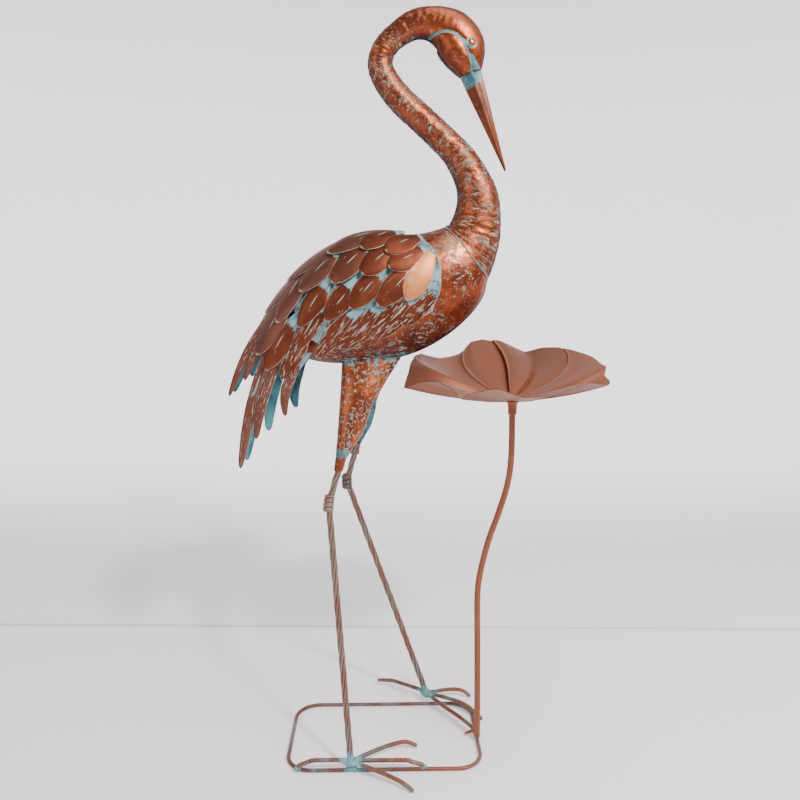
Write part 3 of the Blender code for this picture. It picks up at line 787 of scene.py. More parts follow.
def rod(path: Array, radius: Array | float, sides: int = 14, closed: bool = False, **marks: Array) -> Shape:
    """A round rod along a path.

    Args:
        path: points.
        radius: one number, or one for each point.
        sides: how many sides it has.
        closed: whether it is a loop.
        marks: numbers for each point of the path.

    Returns:
        A closed shape.
    """
    _, up, across = run_frames(path, closed)
    turn = np.linspace(0, math.tau, sides, endpoint=False)
    wide = np.broadcast_to(np.asarray(radius, float), (len(path),))[:, None, None]
    ring = up[:, None, :] * np.cos(turn)[None, :, None] + across[:, None, :] * np.sin(turn)[None, :, None]
    grid = path[:, None, :] + ring * wide
    flat = {name: np.repeat(values[:, None], sides, axis=1) for name, values in marks.items()}
    if not closed:
        return loft(grid, flat)
    rows = len(path)
    faces = grid_faces(rows, sides, True)
    for c in range(sides):
        n = (c + 1) % sides
        a = (rows - 1) * sides
        faces.append((a + c, a + n, n, c))
    return Shape(grid.reshape(-1, 3), faces, {k: v.reshape(-1, 1) for k, v in flat.items()})


def resampled(points: Array, spacing: float) -> Array:
    """A smooth path through points, read at about even spacing."""
    rows = np.asarray(points, float)
    fine = smooth_rows(rows, np.linspace(0, len(rows) - 1, (len(rows) - 1) * 40 + 1))
    reach = np.concatenate([[0.0], np.cumsum(np.linalg.norm(np.diff(fine, axis=0), axis=1))])
    places = np.linspace(0, reach[-1], max(2, round(reach[-1] / spacing)) + 1)
    return np.stack([np.interp(places, reach, fine[:, k]) for k in range(3)], axis=1)


def from_path(spots: Array, path: Array) -> Array:
    """Distance of each flat spot from a path of straight runs."""
    best = np.full(spots.shape[:-1], 1e9)
    for a, b in zip(path, path[1:]):
        run = b - a
        share = np.clip(((spots - a) @ run) / (run @ run), 0, 1)
        best = np.minimum(best, np.linalg.norm(spots - (a + share[..., None] * run), axis=-1))
    return best


@dataclass(frozen=True)
class BodyForm:
    """The body's form: (top x, z, bottom x, z, half width) of each section, breast to tail."""

    rows: tuple = (
        (0.035, 0.769, 0.095, 0.696, 0.040),
        (0.006, 0.761, 0.089, 0.672, 0.048),
        (-0.024, 0.758, 0.070, 0.646, 0.054),
        (-0.056, 0.755, 0.039, 0.619, 0.058),
        (-0.090, 0.745, -0.002, 0.596, 0.060),
        (-0.122, 0.729, -0.050, 0.583, 0.059),
        (-0.152, 0.706, -0.102, 0.578, 0.055),
        (-0.180, 0.676, -0.144, 0.569, 0.048),
        (-0.204, 0.640, -0.176, 0.558, 0.039),
        (-0.222, 0.602, -0.200, 0.542, 0.031),
        (-0.236, 0.562, -0.216, 0.516, 0.025),
    )

    def section(self, t: Array) -> tuple[Array, Array, Array]:
        """Centre, half-height vector and half width at each t."""
        got = smooth_rows(np.array(self.rows), np.atleast_1d(np.asarray(t, float)))
        nought = np.zeros(len(got))
        top = np.stack([got[:, 0], nought, got[:, 1]], axis=1)
        bottom = np.stack([got[:, 2], nought, got[:, 3]], axis=1)
        return (top + bottom) / 2, (top - bottom) / 2, got[:, 4]

    def bare(self, t: Array, angle: Array, side: int) -> Array:
        """Points on the form itself."""
        centre, up, half = self.section(t)
        spot = centre + up * np.cos(angle)[:, None]
        spot[:, 1] += side * half * np.sin(angle)
        return spot

    def point(self, t: Array, angle: Array, side: int, lift: Array | float = 0.0) -> Array:
        """Points over the form.

        Args:
            t: place from breast to tail.
            angle: from the back line round the side to the belly.
            side: the sign of Y.
            lift: height over the form.

        Returns:
            One point for each t.
        """
        t, angle = (np.atleast_1d(np.asarray(v, float)) for v in (t, angle))
        step = 0.05
        along = self.bare(t + step, angle, side) - self.bare(t - step, angle, side)
        around = self.bare(t, angle + step, side) - self.bare(t, angle - step, side)
        out = unit(np.cross(along, around)) * -side
        return self.bare(t, angle, side) + out * np.broadcast_to(lift, t.shape)[:, None]

    def place(self, x: float, z: float) -> tuple[float, float]:
        """The t and angle at which the form shows at x, z from the side."""
        low, high = -1.0, len(self.rows) + 1.0
        spot = np.array((x, 0.0, z))
        for _ in range(40):
            middle = (low + high) / 2
            centre, up, _ = self.section(middle)
            off = spot - centre[0]
            if up[0][2] * off[0] - up[0][0] * off[2] < 0:
                low = middle
            else:
                high = middle
        centre, up, _ = self.section(low)
        share = float(np.dot(spot - centre[0], up[0]) / np.dot(up[0], up[0]))
        return low, math.acos(min(max(share, -0.97), 0.97))


FORM = BodyForm()


@dataclass
class Body:
    """The hammered body shell and the thin seam rim along its middle."""

    rings: int = 170
    sides: int = 150
    back_rise: float = 0.0070
    ends_at: float = 7.7
    closes_from: float = 5.6
    dent: float = 0.0007
    seam_radius: float = 0.0009

    def ring_grid(self) -> tuple[Array, Array, Array]:
        """The shell's points, with t and angle of each."""
        t = np.linspace(0, self.ends_at, self.rings)
        angle = np.linspace(0, math.tau, self.sides, endpoint=False)
        past = np.maximum(0.0, (t - self.closes_from) / (self.ends_at - self.closes_from))
        shrink = np.sqrt(np.maximum(1.0 - 0.97 * past * past, 0.0))
        centre, up, half = FORM.section(t)
        grid = np.repeat(centre[:, None, :], self.sides, axis=1)
        grid += (up * shrink[:, None])[:, None, :] * np.cos(angle)[None, :, None]
        grid[:, :, 1] -= (half * shrink)[:, None] * np.sin(angle)[None, :]
        return grid, np.repeat(t[:, None], self.sides, 1), np.repeat(angle[None, :], self.rings, 0)

    def shell(self) -> Shape:
        """The shell with its hammer marks."""
        grid, t, angle = self.ring_grid()
        out = -grid_normals(grid, True)
        inward = np.sum(out * (grid - grid.mean(axis=1, keepdims=True)), axis=2).mean() < 0
        out = -out if inward else out
        relief = dimples(grid, 0.011) - 0.5 + 0.6 * speckle(grid, 150.0)
        seam_clear = eased(np.abs(np.sin(angle)), 0.02, 0.12)
        around = np.where(angle > math.pi, angle - math.tau, angle)
        rise = self.back_rise * eased(t, 1.4, 4.4) * (1 - eased(t, 6.4, 7.4))
        rise = rise * np.exp(-((around / 1.05) ** 2))
        grid = grid + out * (self.dent * relief * seam_clear + rise)[..., None]
        reach = np.concatenate([[0.0], np.cumsum(np.linalg.norm(np.diff(grid[:, 0], axis=0), axis=1))])
        lengthwise = np.repeat(reach[:, None], self.sides, 1)
        flow = np.stack([lengthwise, around * 0.07, grid[..., 1] * 0.5], axis=-1)
        belly = eased(np.abs(around), 2.45, 2.75) * eased(t, 2.6, 3.6) * (1 - eased(t, 6.5, 7.2))
        thigh_line = np.exp(-(((grid[..., 0] + 0.065) / 0.055) ** 4)) * belly
        rump = eased(t, 6.6, 7.6)
        neck_line = np.exp(-((t / 0.10) ** 2)) * 0.9
        wing_edge = np.exp(-(((np.abs(around) - 2.15) / 0.22) ** 2)) * eased(t, 1.2, 2.2) * 0.33
        patina = np.maximum.reduce([thigh_line * 0.62, rump * 0.55, neck_line * 0.45, wing_edge])
        breast = np.exp(-(((t - 0.9) / 0.9) ** 2)) * np.exp(-(((np.abs(around) - 1.6) / 0.8) ** 2))
        under_wing = eased(np.abs(around), 2.0, 2.35) * eased(t, 2.2, 3.4)
        dabs = 0.22 + 0.40 * breast + 0.45 * under_wing
        # Painted shade: dark along the outline seen side-on, on the back line and the underside line, and
        # under the wing.
        shade = 0.95 * np.exp(-((np.sin(angle) / 0.34) ** 2)) + 0.40 * under_wing
        # Painted highlight on the upper breast, by the shoulder.
        shoulder = np.exp(-(((t - 0.45) / 0.75) ** 2)) * np.exp(-(((np.abs(around) - 1.10) / 0.42) ** 2))
        marks = {"flow": flow, "patina": patina, "dabs": dabs, "shade": shade, "glint": shoulder * 0.85}
        return loft(grid, marks)

    def seam(self) -> Shape:
        """The crimped rim where the two half shells meet, over the back and under the breast."""
        parts = []
        for angle, last in ((0.0, 7.3), (math.pi, 7.3)):
            t = np.linspace(0.0, last, 120)
            past = np.maximum(0.0, (t - self.closes_from) / (self.ends_at - self.closes_from))
            shrink = np.sqrt(np.maximum(1.0 - 0.97 * past * past, 0.0))
            centre, up, _ = FORM.section(t)
            path = centre + up * (shrink * math.cos(angle))[:, None]
            parts.append(rod(path, self.seam_radius, 8, patina=np.full(len(t), 0.52)))
        return Shape.joined(parts)

    def build(self, shop: Workshop) -> None:
        """Adds the body's pieces."""
        copper = HammeredCopper()
        shop.add("body_hammered_shell", self.shell(), copper, Slot.COPPER, "body_shell")
        pale = WireSteel("seam_pale_paint", brown=(0.30, 0.24, 0.21), grey=(0.27, 0.32, 0.33))
        shop.add("body_seam_rim", self.seam(), pale, Slot.COPPER, "body_shell")


@dataclass
class NeckAndHead:
    """The S-shaped neck, the head with its cheek groove, the eyes and the beak."""

    rows: tuple = (
        (0.0760, 0.762, 0.0375, 0.0330),
        (0.0805, 0.790, 0.0320, 0.0300),
        (0.0790, 0.814, 0.0285, 0.0275),
        (0.0700, 0.838, 0.0242, 0.0238),
        (0.0560, 0.861, 0.0218, 0.0215),
        (0.0400, 0.879, 0.0198, 0.0198),
        (0.0050, 0.911, 0.0192, 0.0190),
        (-0.0270, 0.939, 0.0188, 0.0185),
        (-0.0490, 0.967, 0.0177, 0.0176),
        (-0.0555, 0.989, 0.0170, 0.0170),
        (-0.0470, 1.009, 0.0162, 0.0165),
        (-0.0310, 1.024, 0.0166, 0.0166),
        (-0.0120, 1.035, 0.0190, 0.0175),
        (0.0070, 1.0380, 0.0213, 0.0190),
        (0.0250, 1.0345, 0.0255, 0.0210),
        (0.0410, 1.026, 0.0302, 0.0232),
        (0.0520, 1.012, 0.0325, 0.0238),
        (0.0590, 0.998, 0.0300, 0.0222),
        (0.0640, 0.985, 0.0230, 0.0180),
        (0.0675, 0.9745, 0.0160, 0.0125),
    )
    rings: int = 420
    sides: int = 72
    gap: float = 0.0003
    dent: float = 0.0008
    groove: tuple[Flat, ...] = (
        (-0.012, 1.0165), (-0.002, 1.0150), (0.008, 1.0145), (0.0157, 1.0180), (0.0242, 1.0217),
        (0.0340, 1.0222),
        (0.0420, 1.0200), (0.0495, 1.0155), (0.0560, 1.0095), (0.0605, 1.0010), (0.0640, 0.9930),
        (0.0674, 0.9810),
        (0.0695, 0.9700),
    )
    eye_at: Flat = (0.066, 1.0080)
    eye_radius: float = 0.0052
    beak_tip: Flat = (0.118, 0.846)
    beak_depth: float = 0.0150
    beak_width: float = 0.0115

    def ring_grid(self) -> tuple[Array, Array, Array]:
        """The neck's and head's points, with metres along and angle of each."""
        centre, up, half = FORM.section(0.0)
        tilt = unit(np.array((up[0][2], 0.0, -up[0][0]))) * self.gap
        seam = (centre[0][0] + tilt[0], centre[0][2] + tilt[2], float(np.linalg.norm(up[0])), float(half[0]))
        rows = np.array([seam, *self.rows])
        last = len(rows) - 1
        t = np.linspace(0, last, self.rings)
        got = smooth_rows(rows, t)
        ahead = smooth_rows(rows, np.minimum(t + 0.1, last))
        behind = smooth_rows(rows, np.maximum(t - 0.1, 0))
        step = ahead - behind
        run = unit(np.stack([step[:, 0], np.zeros(len(t)), step[:, 1]], axis=1))
        across = np.stack([-run[:, 2], np.zeros(len(t)), run[:, 0]], axis=1)
        near = np.maximum(0.0, 1.0 - t)[:, None]
        across = unit(across * (1 - near) + unit(up[0]) * near)
        angle = np.linspace(0, math.tau, self.sides, endpoint=False)
        spot = np.stack([got[:, 0], np.zeros(len(t)), got[:, 1]], axis=1)
        sway = got[:, 2][:, None] * np.cos(angle)[None, :]
        grid = spot[:, None, :] + across[:, None, :] * sway[..., None]
        grid[:, :, 1] -= got[:, 3][:, None] * np.sin(angle)[None, :]
        reach = np.concatenate([[0.0], np.cumsum(np.linalg.norm(np.diff(spot, axis=0), axis=1))])
        return grid, np.repeat(reach[:, None], self.sides, 1), np.repeat(angle[None, :], self.rings, 0)

    def head_shape(self) -> Shape:
        """The neck and head with hammer marks, cheek and groove."""
        grid, reach, angle = self.ring_grid()
        middle = grid.mean(axis=1, keepdims=True)
        out = grid_normals(grid, True)
        if np.sum(out * (grid - middle)) < 0:
            out = -out
        flat = grid[..., (0, 2)]
        side_on = eased(np.abs(np.sin(angle)), 0.25, 0.6)
        off = from_path(flat, np.array(self.groove))
        total = reach.max()
        head = eased(reach, total - 0.150, total - 0.110)
        wide = np.interp(flat[..., 1], (0.970, 0.978, 0.988, 0.998), (0.0180, 0.0140, 0.0075, 0.0030))
        groove = np.exp(-((off / 0.0024) ** 2)) * eased(np.abs(np.sin(angle)), 0.05, 0.25) * head
        long_way = ((flat[..., 0] - 0.0465) * 0.66 - (flat[..., 1] - 0.9900) * 0.75) / 0.0350
        short_way = ((flat[..., 0] - 0.0465) * 0.75 + (flat[..., 1] - 0.9900) * 0.66) / 0.0160
        lobe = np.hypot(long_way, short_way)
        cheek = np.clip(1 - lobe**2, 0, 1) ** 0.8 * side_on
        around = np.where(angle > math.pi, angle - math.tau, angle)
        flow = np.stack([reach, around * 0.022, grid[..., 1] * 0.5], axis=-1)
        ripple = np.stack([reach * 1.6, around * 0.022 * 0.7, np.sign(around) * 0.3], axis=-1)
        smooth_head = 1 - 0.65 * eased(reach, total - 0.10, total - 0.06)
        relief = (0.8 * speckle(ripple, 110.0, 3.0) + dimples(grid, 0.008) - 0.5) * smooth_head
        shift = self.dent * relief - 0.0021 * groove + 0.0030 * cheek
        grid = grid + out * shift[..., None]
        low_end = eased(-flat[..., 1], -0.999, -0.990) * eased(reach, total - 0.06, total - 0.05)
        face = np.exp(-((off / wide) ** 4)) * eased(lobe, 0.93, 1.06) * low_end
        eye = np.linalg.norm(flat - np.array(self.eye_at), axis=-1)
        ring = np.exp(-(((eye - self.eye_radius - 0.0012) / 0.0016) ** 2)) * side_on
        underside = eased(np.abs(around), 2.2, 3.0)
        lip = np.exp(-((reach / 0.003) ** 2)) * 0.5
        patina = np.maximum.reduce([groove * 0.92, face * 0.95, ring * 0.75, lip])
        dabs = 0.75 - 1.1 * head + 0.9 * head * (1 - eased(np.abs(around), 0.25, 0.9))
        # Painted shade along the outline seen side-on, and a little under the neck.
        shade = 1.0 * np.exp(-((np.abs(np.sin(angle)) / 0.58) ** 3)) + 0.10 * underside
        # Painted highlight: a faint light band along the crown.
        band = np.exp(-(((np.abs(around) - 0.95) / 0.26) ** 2))
        glint = band * 0.12 * head * eased(-reach, 0.03 - total, 0.06 - total)
        return loft(grid, {"flow": flow, "patina": patina, "dabs": dabs, "shade": shade, "glint": glint})

    def collar_lip(self) -> Shape:
        """The raised lip where the neck is welded on the body."""
        angle = np.linspace(0, math.tau, 96, endpoint=False)
        centre, up, half = FORM.section(0.0)
        ring = centre[0] + up[0] * np.cos(angle)[:, None]
        ring[:, 1] -= half[0] * np.sin(angle)
        ring = centre[0] + (ring - centre[0]) * 1.004
        return rod(ring, 0.0011, 8, True, patina=0.45 + 0.2 * np.sin(angle * 7), copper=np.full(96, 0.6))

    def beak(self) -> Shape:
        """The four-sided beak with a ridge along each side and a nostril slot."""
        base = np.array((self.rows[-1][0], 0.0, self.rows[-1][1]))
        tip = np.array((self.beak_tip[0], 0.0, self.beak_tip[1]))
        run = unit(tip - base)
        base = base + run * 0.0003
        across = np.array((-run[2], 0.0, run[0]))
        along = np.concatenate([np.linspace(0, 0.3, 30), np.linspace(0.3, 1.0, 40)[1:]])
        share = np.interp(along, (0, 0.12, 0.55, 0.97, 1.0), (1.0, 0.93, 0.51, 0.13, 0.085))
        sides = 32
        corner = np.linspace(0, 4, sides, endpoint=False)
        quarter, within = np.floor(corner).astype(int), corner % 1.0
        turn = math.pi / 2 * (quarter + within)
        reach = 1.0 / (np.abs(np.cos(turn)) + np.abs(np.sin(turn)))
        reach = reach * (1 - 0.05 * np.exp(-((within - 0.5) / 0.2) ** 2))
        deep, wide = self.beak_depth * np.cos(turn) * reach, self.beak_width * np.sin(turn) * reach
        grid = base + (tip - base) * along[:, None, None]
        grid = grid + across * (deep[None, :] * share[:, None])[..., None]
        grid[:, :, 1] -= wide[None, :] * share[:, None]
        front = deep[None, :] > 0
        limit = np.where(front, 0.070 + 0.05 * np.abs(np.sin(turn))[None, :], 0.135)
        patina = 1 - eased(along[:, None] - limit, -0.03, 0.03)
        here = ((along - 0.055) / 0.030)[:, None] ** 2
        nostril = sum(np.exp(-here - ((corner[None, :] - spot) / 0.16) ** 2) for spot in (0.55, 3.45))
        grid[:, :, 1] += np.sign(wide)[None, :] * 0.0012 * nostril
        flow = np.stack(np.broadcast_arrays(along[:, None] * 0.14, corner[None, :] * 0.01, 0.0), axis=-1)
        # Painted shade on the facets toward the throat and in the nostril slots.
        shade = np.where(deep[None, :] < 0, 0.36, 0.0) * np.ones((len(along), 1)) + nostril * 0.4
        # Painted highlight along the side ridges and on the upper facets near the base.
        ridge = np.minimum(np.abs(corner - 1.0), np.abs(corner - 3.0))[None, :]
        glint = np.exp(-((ridge / 0.06) ** 2)) * 0.45
        glint = np.minimum(glint + front * 0.75 * (1 - eased(along, 0.12, 0.60))[:, None], 1)
        dabs = patina * 0 - 0.5
        marks = {"flow": flow, "patina": patina, "dabs": dabs, "shade": shade, "glint": glint}
        return loft(grid, marks)

    def eye(self, side: Side) -> Shape:
        """A domed bead in a low ring.

        Args:
            side: which side of the head it is on.

        Returns:
            A closed shape.
        """
        x, z = self.eye_at
        y = self.surface_at(x, z)
        rise = np.linspace(0, 1, 14)
        turn = np.linspace(0, math.tau, 28, endpoint=False)
        bead = self.eye_radius
        profile = [(bead * 1.30, 0.0), (bead * 1.28, 0.0010), (bead * 1.06, 0.0012)]
        profile += [
            (bead * math.cos(a * math.pi / 2 * 0.98), 0.0008 + 0.0032 * math.sin(a * math.pi / 2))
            for a in rise
        ]
        rim = np.array(profile)
        out = unit(np.array((0.30, side.value, 0.12)))
        right = unit(np.cross(out, np.array((0.0, 0.0, 1.0))))
        up = np.cross(right, out)
        start = np.array((x, side.value * (y - 0.0014), z))
        circle = right * np.cos(turn)[:, None] + up * np.sin(turn)[:, None]
        grid = start + circle[None, :, :] * rim[:, 0][:, None, None] + out * rim[:, 1][:, None, None]
        foot = np.repeat((1 - eased(np.arange(len(rim)), 2.0, 3.5))[:, None], len(turn), axis=1)
        shape = loft(grid, {"patina": foot})
        if side is Side.LEFT:
            shape.faces = [tuple(reversed(face)) for face in shape.faces]
        return shape

    def surface_at(self, x: float, z: float) -> float:
        """How far out the head's side stands at x, z."""
        grid, _, _ = self.ring_grid()
        away = np.linalg.norm(grid[..., (0, 2)] - np.array((x, z)), axis=-1) + (grid[..., 1] < 0) * 1.0
        i, j = np.unravel_index(np.argmin(away), away.shape)
        return float(grid[i, j, 1])

    def build(self, shop: Workshop) -> None:
        """Adds the neck, head, lip, beak and eyes."""
        copper = HammeredCopper(
            "neck_copper_paint", glow=(0.46, 0.185, 0.10), dab_along=340.0, dab_around=130.0, dab_bend=1.1,
            dab_share=0.602, arc_strength=0.3,
            chalk_cool=(0.17, 0.20, 0.18), chalk_warm=(0.36, 0.31, 0.23), zone_rough=0.45,
        )
        shop.add("neck_and_head_shell", self.head_shape(), copper, Slot.COPPER, "neck_and_head")
        pale = WireSteel("seam_pale_paint", brown=(0.30, 0.24, 0.21), grey=(0.27, 0.32, 0.33))
        shop.add("neck_weld_lip", self.collar_lip(), pale, Slot.COPPER, "neck_and_head")
        beak = HammeredCopper(
            "beak_copper_paint",
            copper=(0.31, 0.088, 0.038),
            glow=(0.45, 0.17, 0.09),
            dab_share=0.95,
            arc_strength=0.0,
            glint=(0.62, 0.33, 0.25), zone_rough=0.3,
        )
        shop.add("beak_blade", self.beak(), beak, Slot.DARK_COPPER, "beak", sharp=18.0)
        for side in Side:
            shop.add(f"{side.label}_eye_bead", self.eye(side), GoldPaint(), Slot.GOLD, f"{side.label}_eye")


@dataclass
class Wing:
    """One wing: the plate on the body's side and the rings of shingled feathers."""

    side: Side
    sheet: float = 0.0008
    root_lift: float = 0.0046
    tip_lift: float = 0.0102
    half_width: float = 0.0164
    round_from: float = 0.56
    stretch: float = 1.42
    front_stretch: float = 1.18
    front_widths: tuple[float, ...] = (1.0, 0.96, 1.06, 0.66)
    hump: float = 0.0080
    plate_rim: tuple = (1.60, 1.46, 1.38, 1.42, 1.62, 1.95, 2.39, 3.00)
    tips: tuple = (
        ((-0.048, 0.727), (-0.045, 0.709), (-0.022, 0.669), (-0.030, 0.640)),
        ((-0.079, 0.729), (-0.079, 0.700), (-0.061, 0.663), (-0.070, 0.622)),
        ((-0.121, 0.720), (-0.119, 0.688), (-0.097, 0.659), (-0.112, 0.608)),
        ((-0.172, 0.684), (-0.158, 0.674), (-0.130, 0.643), (-0.145, 0.596)),
        ((-0.205, 0.650), (-0.190, 0.634), (-0.164, 0.632), (-0.177, 0.595)),
        ((-0.228, 0.612), (-0.218, 0.590), (-0.212, 0.573), (-0.197, 0.563)),
    )
    runs: tuple = (
        ((0.040, 0.020), (0.042, 0.021), (0.030, 0.056), (0.042, 0.034)),
        ((0.035, 0.024), (0.033, 0.027), (0.042, 0.040), (0.043, 0.043)),
        ((0.060, 0.030), (0.040, 0.037), (0.034, 0.037), (0.043, 0.043)),
        ((0.060, 0.049), (0.039, 0.041), (0.030, 0.037), (0.046, 0.048)),
        ((0.050, 0.053), (0.036, 0.060), (0.031, 0.046), (0.038, 0.056)),
        ((0.048, 0.058), (0.040, 0.062), (0.036, 0.056), (0.034, 0.052)),
    )

    def raised(self, t: Array, angle: Array) -> Array:
        """How much more the wing stands off the body along the rear of the back."""
        return self.hump * eased(t, 1.4, 4.4) * np.exp(-((angle / 1.05) ** 2))

    def plate_shape(self) -> Shape:
        """The plate, with a rolled front rim."""
        rows, columns = 40, 60
        down = np.linspace(0, 1, rows)
        share = np.linspace(0, 1, columns)
        bow = 1.0 - (2 * down - 1) ** 2
        front = smooth_rows(np.array(self.plate_rim)[:, None], down * (len(self.plate_rim) - 1))[:, 0]
        rear = 7.0 - 0.6 * (1 - bow)
        t = front[:, None] + (rear - front)[:, None] * share[None, :]
        angle = np.repeat((math.radians(24) + math.radians(94) * down)[:, None], columns, axis=1)
        edge = np.minimum.reduce([
            share[None, :] * 0.2 + 0 * down[:, None],
            down[:, None] * 0.12 + 0 * share[None, :],
            (1 - down)[:, None] * 0.12 + 0 * share[None, :],
        ])
        bead = np.exp(-((edge / 0.0035) ** 2))
        lift = 0.0020 + 0.0010 * bead + self.raised(t, angle)
        spots = FORM.point(t.ravel(), angle.ravel(), self.side.value, lift.ravel())
        grid = spots.reshape(rows, columns, 3)
        if self.side is Side.LEFT:
            grid = grid[:, ::-1]
            bead = bead[:, ::-1]
        slant = self.stretch * 0.03
        rows_along = t * slant + angle * 0.05
        rows_across = angle * 0.05 - t * slant * 0.6
        flow = np.stack(np.broadcast_arrays(rows_along, rows_across, 0.0), axis=-1)
        if self.side is Side.LEFT:
            flow = flow[:, ::-1]
        return plate(grid, 0.0010, {"worn": bead * 0.75, "flow": flow})

    def line(self, tip: Flat, run: Flat, back: float) -> tuple[Array, Array]:
        """Root and tip of a feather as t and angle on the form."""
        longer = self.front_stretch if back == 0.0 else self.stretch
        root = FORM.place(tip[0] + run[0] * longer, tip[1] + run[1] * longer)
        return np.array(root), np.array(FORM.place(*tip))

    def feather(self, tip: Flat, run: Flat, back: float, down: float, order: int, bright: float) -> Shape:
        """One cut feather.

        Args:
            tip: where its tip shows from the side.
            run: how far its visible root lies from its tip, from the side.
            back: 0 in the front ring and 1 in the rear one.
            down: 0 on the back line and 1 low on the side.
            order: its number from the back line, which sets which lies over which.
            bright: how much painted highlight it gets.

        Returns:
            A closed thin shape.
        """
        rows, columns = 30, 17
        root, end = self.line(tip, run, back)
        along = 1 - np.linspace(1, 0, rows) ** 1.35
        lance = max(back - 0.25, 0.0) / 0.75 * down
        half = 0.34 + 0.66 * eased(along, 0.0, 0.60 - 0.15 * lance)
        round_from = self.round_from - 0.22 * lance
        past = np.clip((along - round_from) / (1.0 - round_from), 0, 1)
        half = half * np.maximum(1 - past ** (2 - 0.5 * lance), 0.002) ** (0.60 + 0.15 * lance)
        if back == 0.0:
            half = half * (1 + 0.35 * (1 - eased(along, 0.0, 0.5))) * self.front_widths[order]
        half = half * self.half_width * (1.02 - 0.20 * lance)
        clean_from = 0.0 if back == 0.0 else 0.16
        spine_t = root[0] + (end[0] - root[0]) * along
        spine_a = root[1] + (end[1] - root[1]) * along
        side = self.side.value
        step = 0.04
        heart = FORM.point(spine_t, spine_a, side)
        by_t = (FORM.point(spine_t + step, spine_a, side) - heart) / step
        by_a = (FORM.point(spine_t, spine_a + step, side) - heart) / step
        run = unit(np.gradient(heart, axis=0))
        normal = unit(np.cross(by_t, by_a)) * -side
        over = unit(np.cross(normal, run)) * -side
        grid = np.zeros((rows, columns, 3))
        across = np.linspace(-1, 1, columns)
        lift = self.root_lift + (self.tip_lift - self.root_lift) * along + 0.0006 * (1.5 - order)
        for c, offset in enumerate(across):
            want = over * (half * offset)[:, None]
            tt, aa = np.sum(by_t * by_t, 1), np.sum(by_a * by_a, 1)
            ta = np.sum(by_t * by_a, 1)
            wt, wa = np.sum(want * by_t, 1), np.sum(want * by_a, 1)
            det = tt * aa - ta * ta
            move_t, move_a = (wt * aa - wa * ta) / det, (wa * tt - wt * ta) / det
            spot_a = np.maximum(spine_a + move_a, 0.03)
            dome = 0.0016 * (1 - offset**2) - 0.0004 * math.exp(-((abs(offset) - 1) / 0.1) ** 2)
            more = self.raised(spine_t + move_t, spot_a)
            grid[:, c] = FORM.point(spine_t + move_t, spot_a, side, lift + dome + more)
        dash = np.exp(-(np.abs((along - 0.50) / 0.105)[:, None] ** 4)) * np.ones((1, columns))
        normals = grid_normals(grid)
        facing = 1.0 if np.sum(normals * normal[:, None, :]) > 0 else -1.0
        edge = np.maximum(np.abs(across)[None, :] ** 6, eased(along, 0.90, 1.0)[:, None])
        near_root = 1 - eased(along, clean_from, clean_from + 0.24)
        from_side, from_middle = (across + 0.45) / 0.5, (along - 0.55) / 0.2
        sideways = across[None, :] * half[:, None]
        marks = {
            "quill": dash,
            "rim": edge,
            "patina": near_root[:, None] * 0.72 + 0 * across[None, :],
            "streak": np.full((rows, columns), 0.18 * back + 2.4 * max(0.0, down - 0.62)),
            # Painted highlight: a lit feather, with a lighter spot on it.
            "bright": np.full((rows, columns), bright),
            "glint": bright * np.exp(-(from_side[None, :] ** 2) - from_middle[:, None] ** 2),
            "grey": np.full((rows, columns), 1.2 * max(1 - 1.6 * down, 0.0) * eased(back, 0.2, 0.8)),
            "flow": np.stack(
                np.broadcast_arrays(along[:, None] * 0.07, sideways, order * 0.37 + back * 7), axis=-1
            ),
        }
        if facing < 0:
            grid = grid[:, ::-1]
            marks = {name: values[:, ::-1] for name, values in marks.items()}
        return plate(grid, self.sheet, marks)

    def build(self, shop: Workshop) -> None:
        """Adds the plate and the five rings of feathers."""
        label = self.side.label
        name = f"{label}_wing_plate"
        shop.add(f"{name}_sheet", self.plate_shape(), PatinaSheet(), Slot.PATINA, name)
        for ring, tips in enumerate(self.tips, 1):
            number = min(ring, 5)
            back = (number - 1) / 4
            feathers = []
            for order, tip in enumerate(tips):
                # Painted highlight on one feather of the front ring.
                bright = 1.0 if (ring, order) == (1, 2) else 0.0
                run = self.runs[ring - 1][order]
                feathers.append(self.feather(tip, run, back, order / (len(tips) - 1), order, bright))
            name = f"{label}_wing_feathers_{number}"
            piece = f"{label}_wing_feather_ring_{ring}"
            shop.add(piece, Shape.joined(feathers), FeatherCopper(), Slot.DARK_COPPER, name)


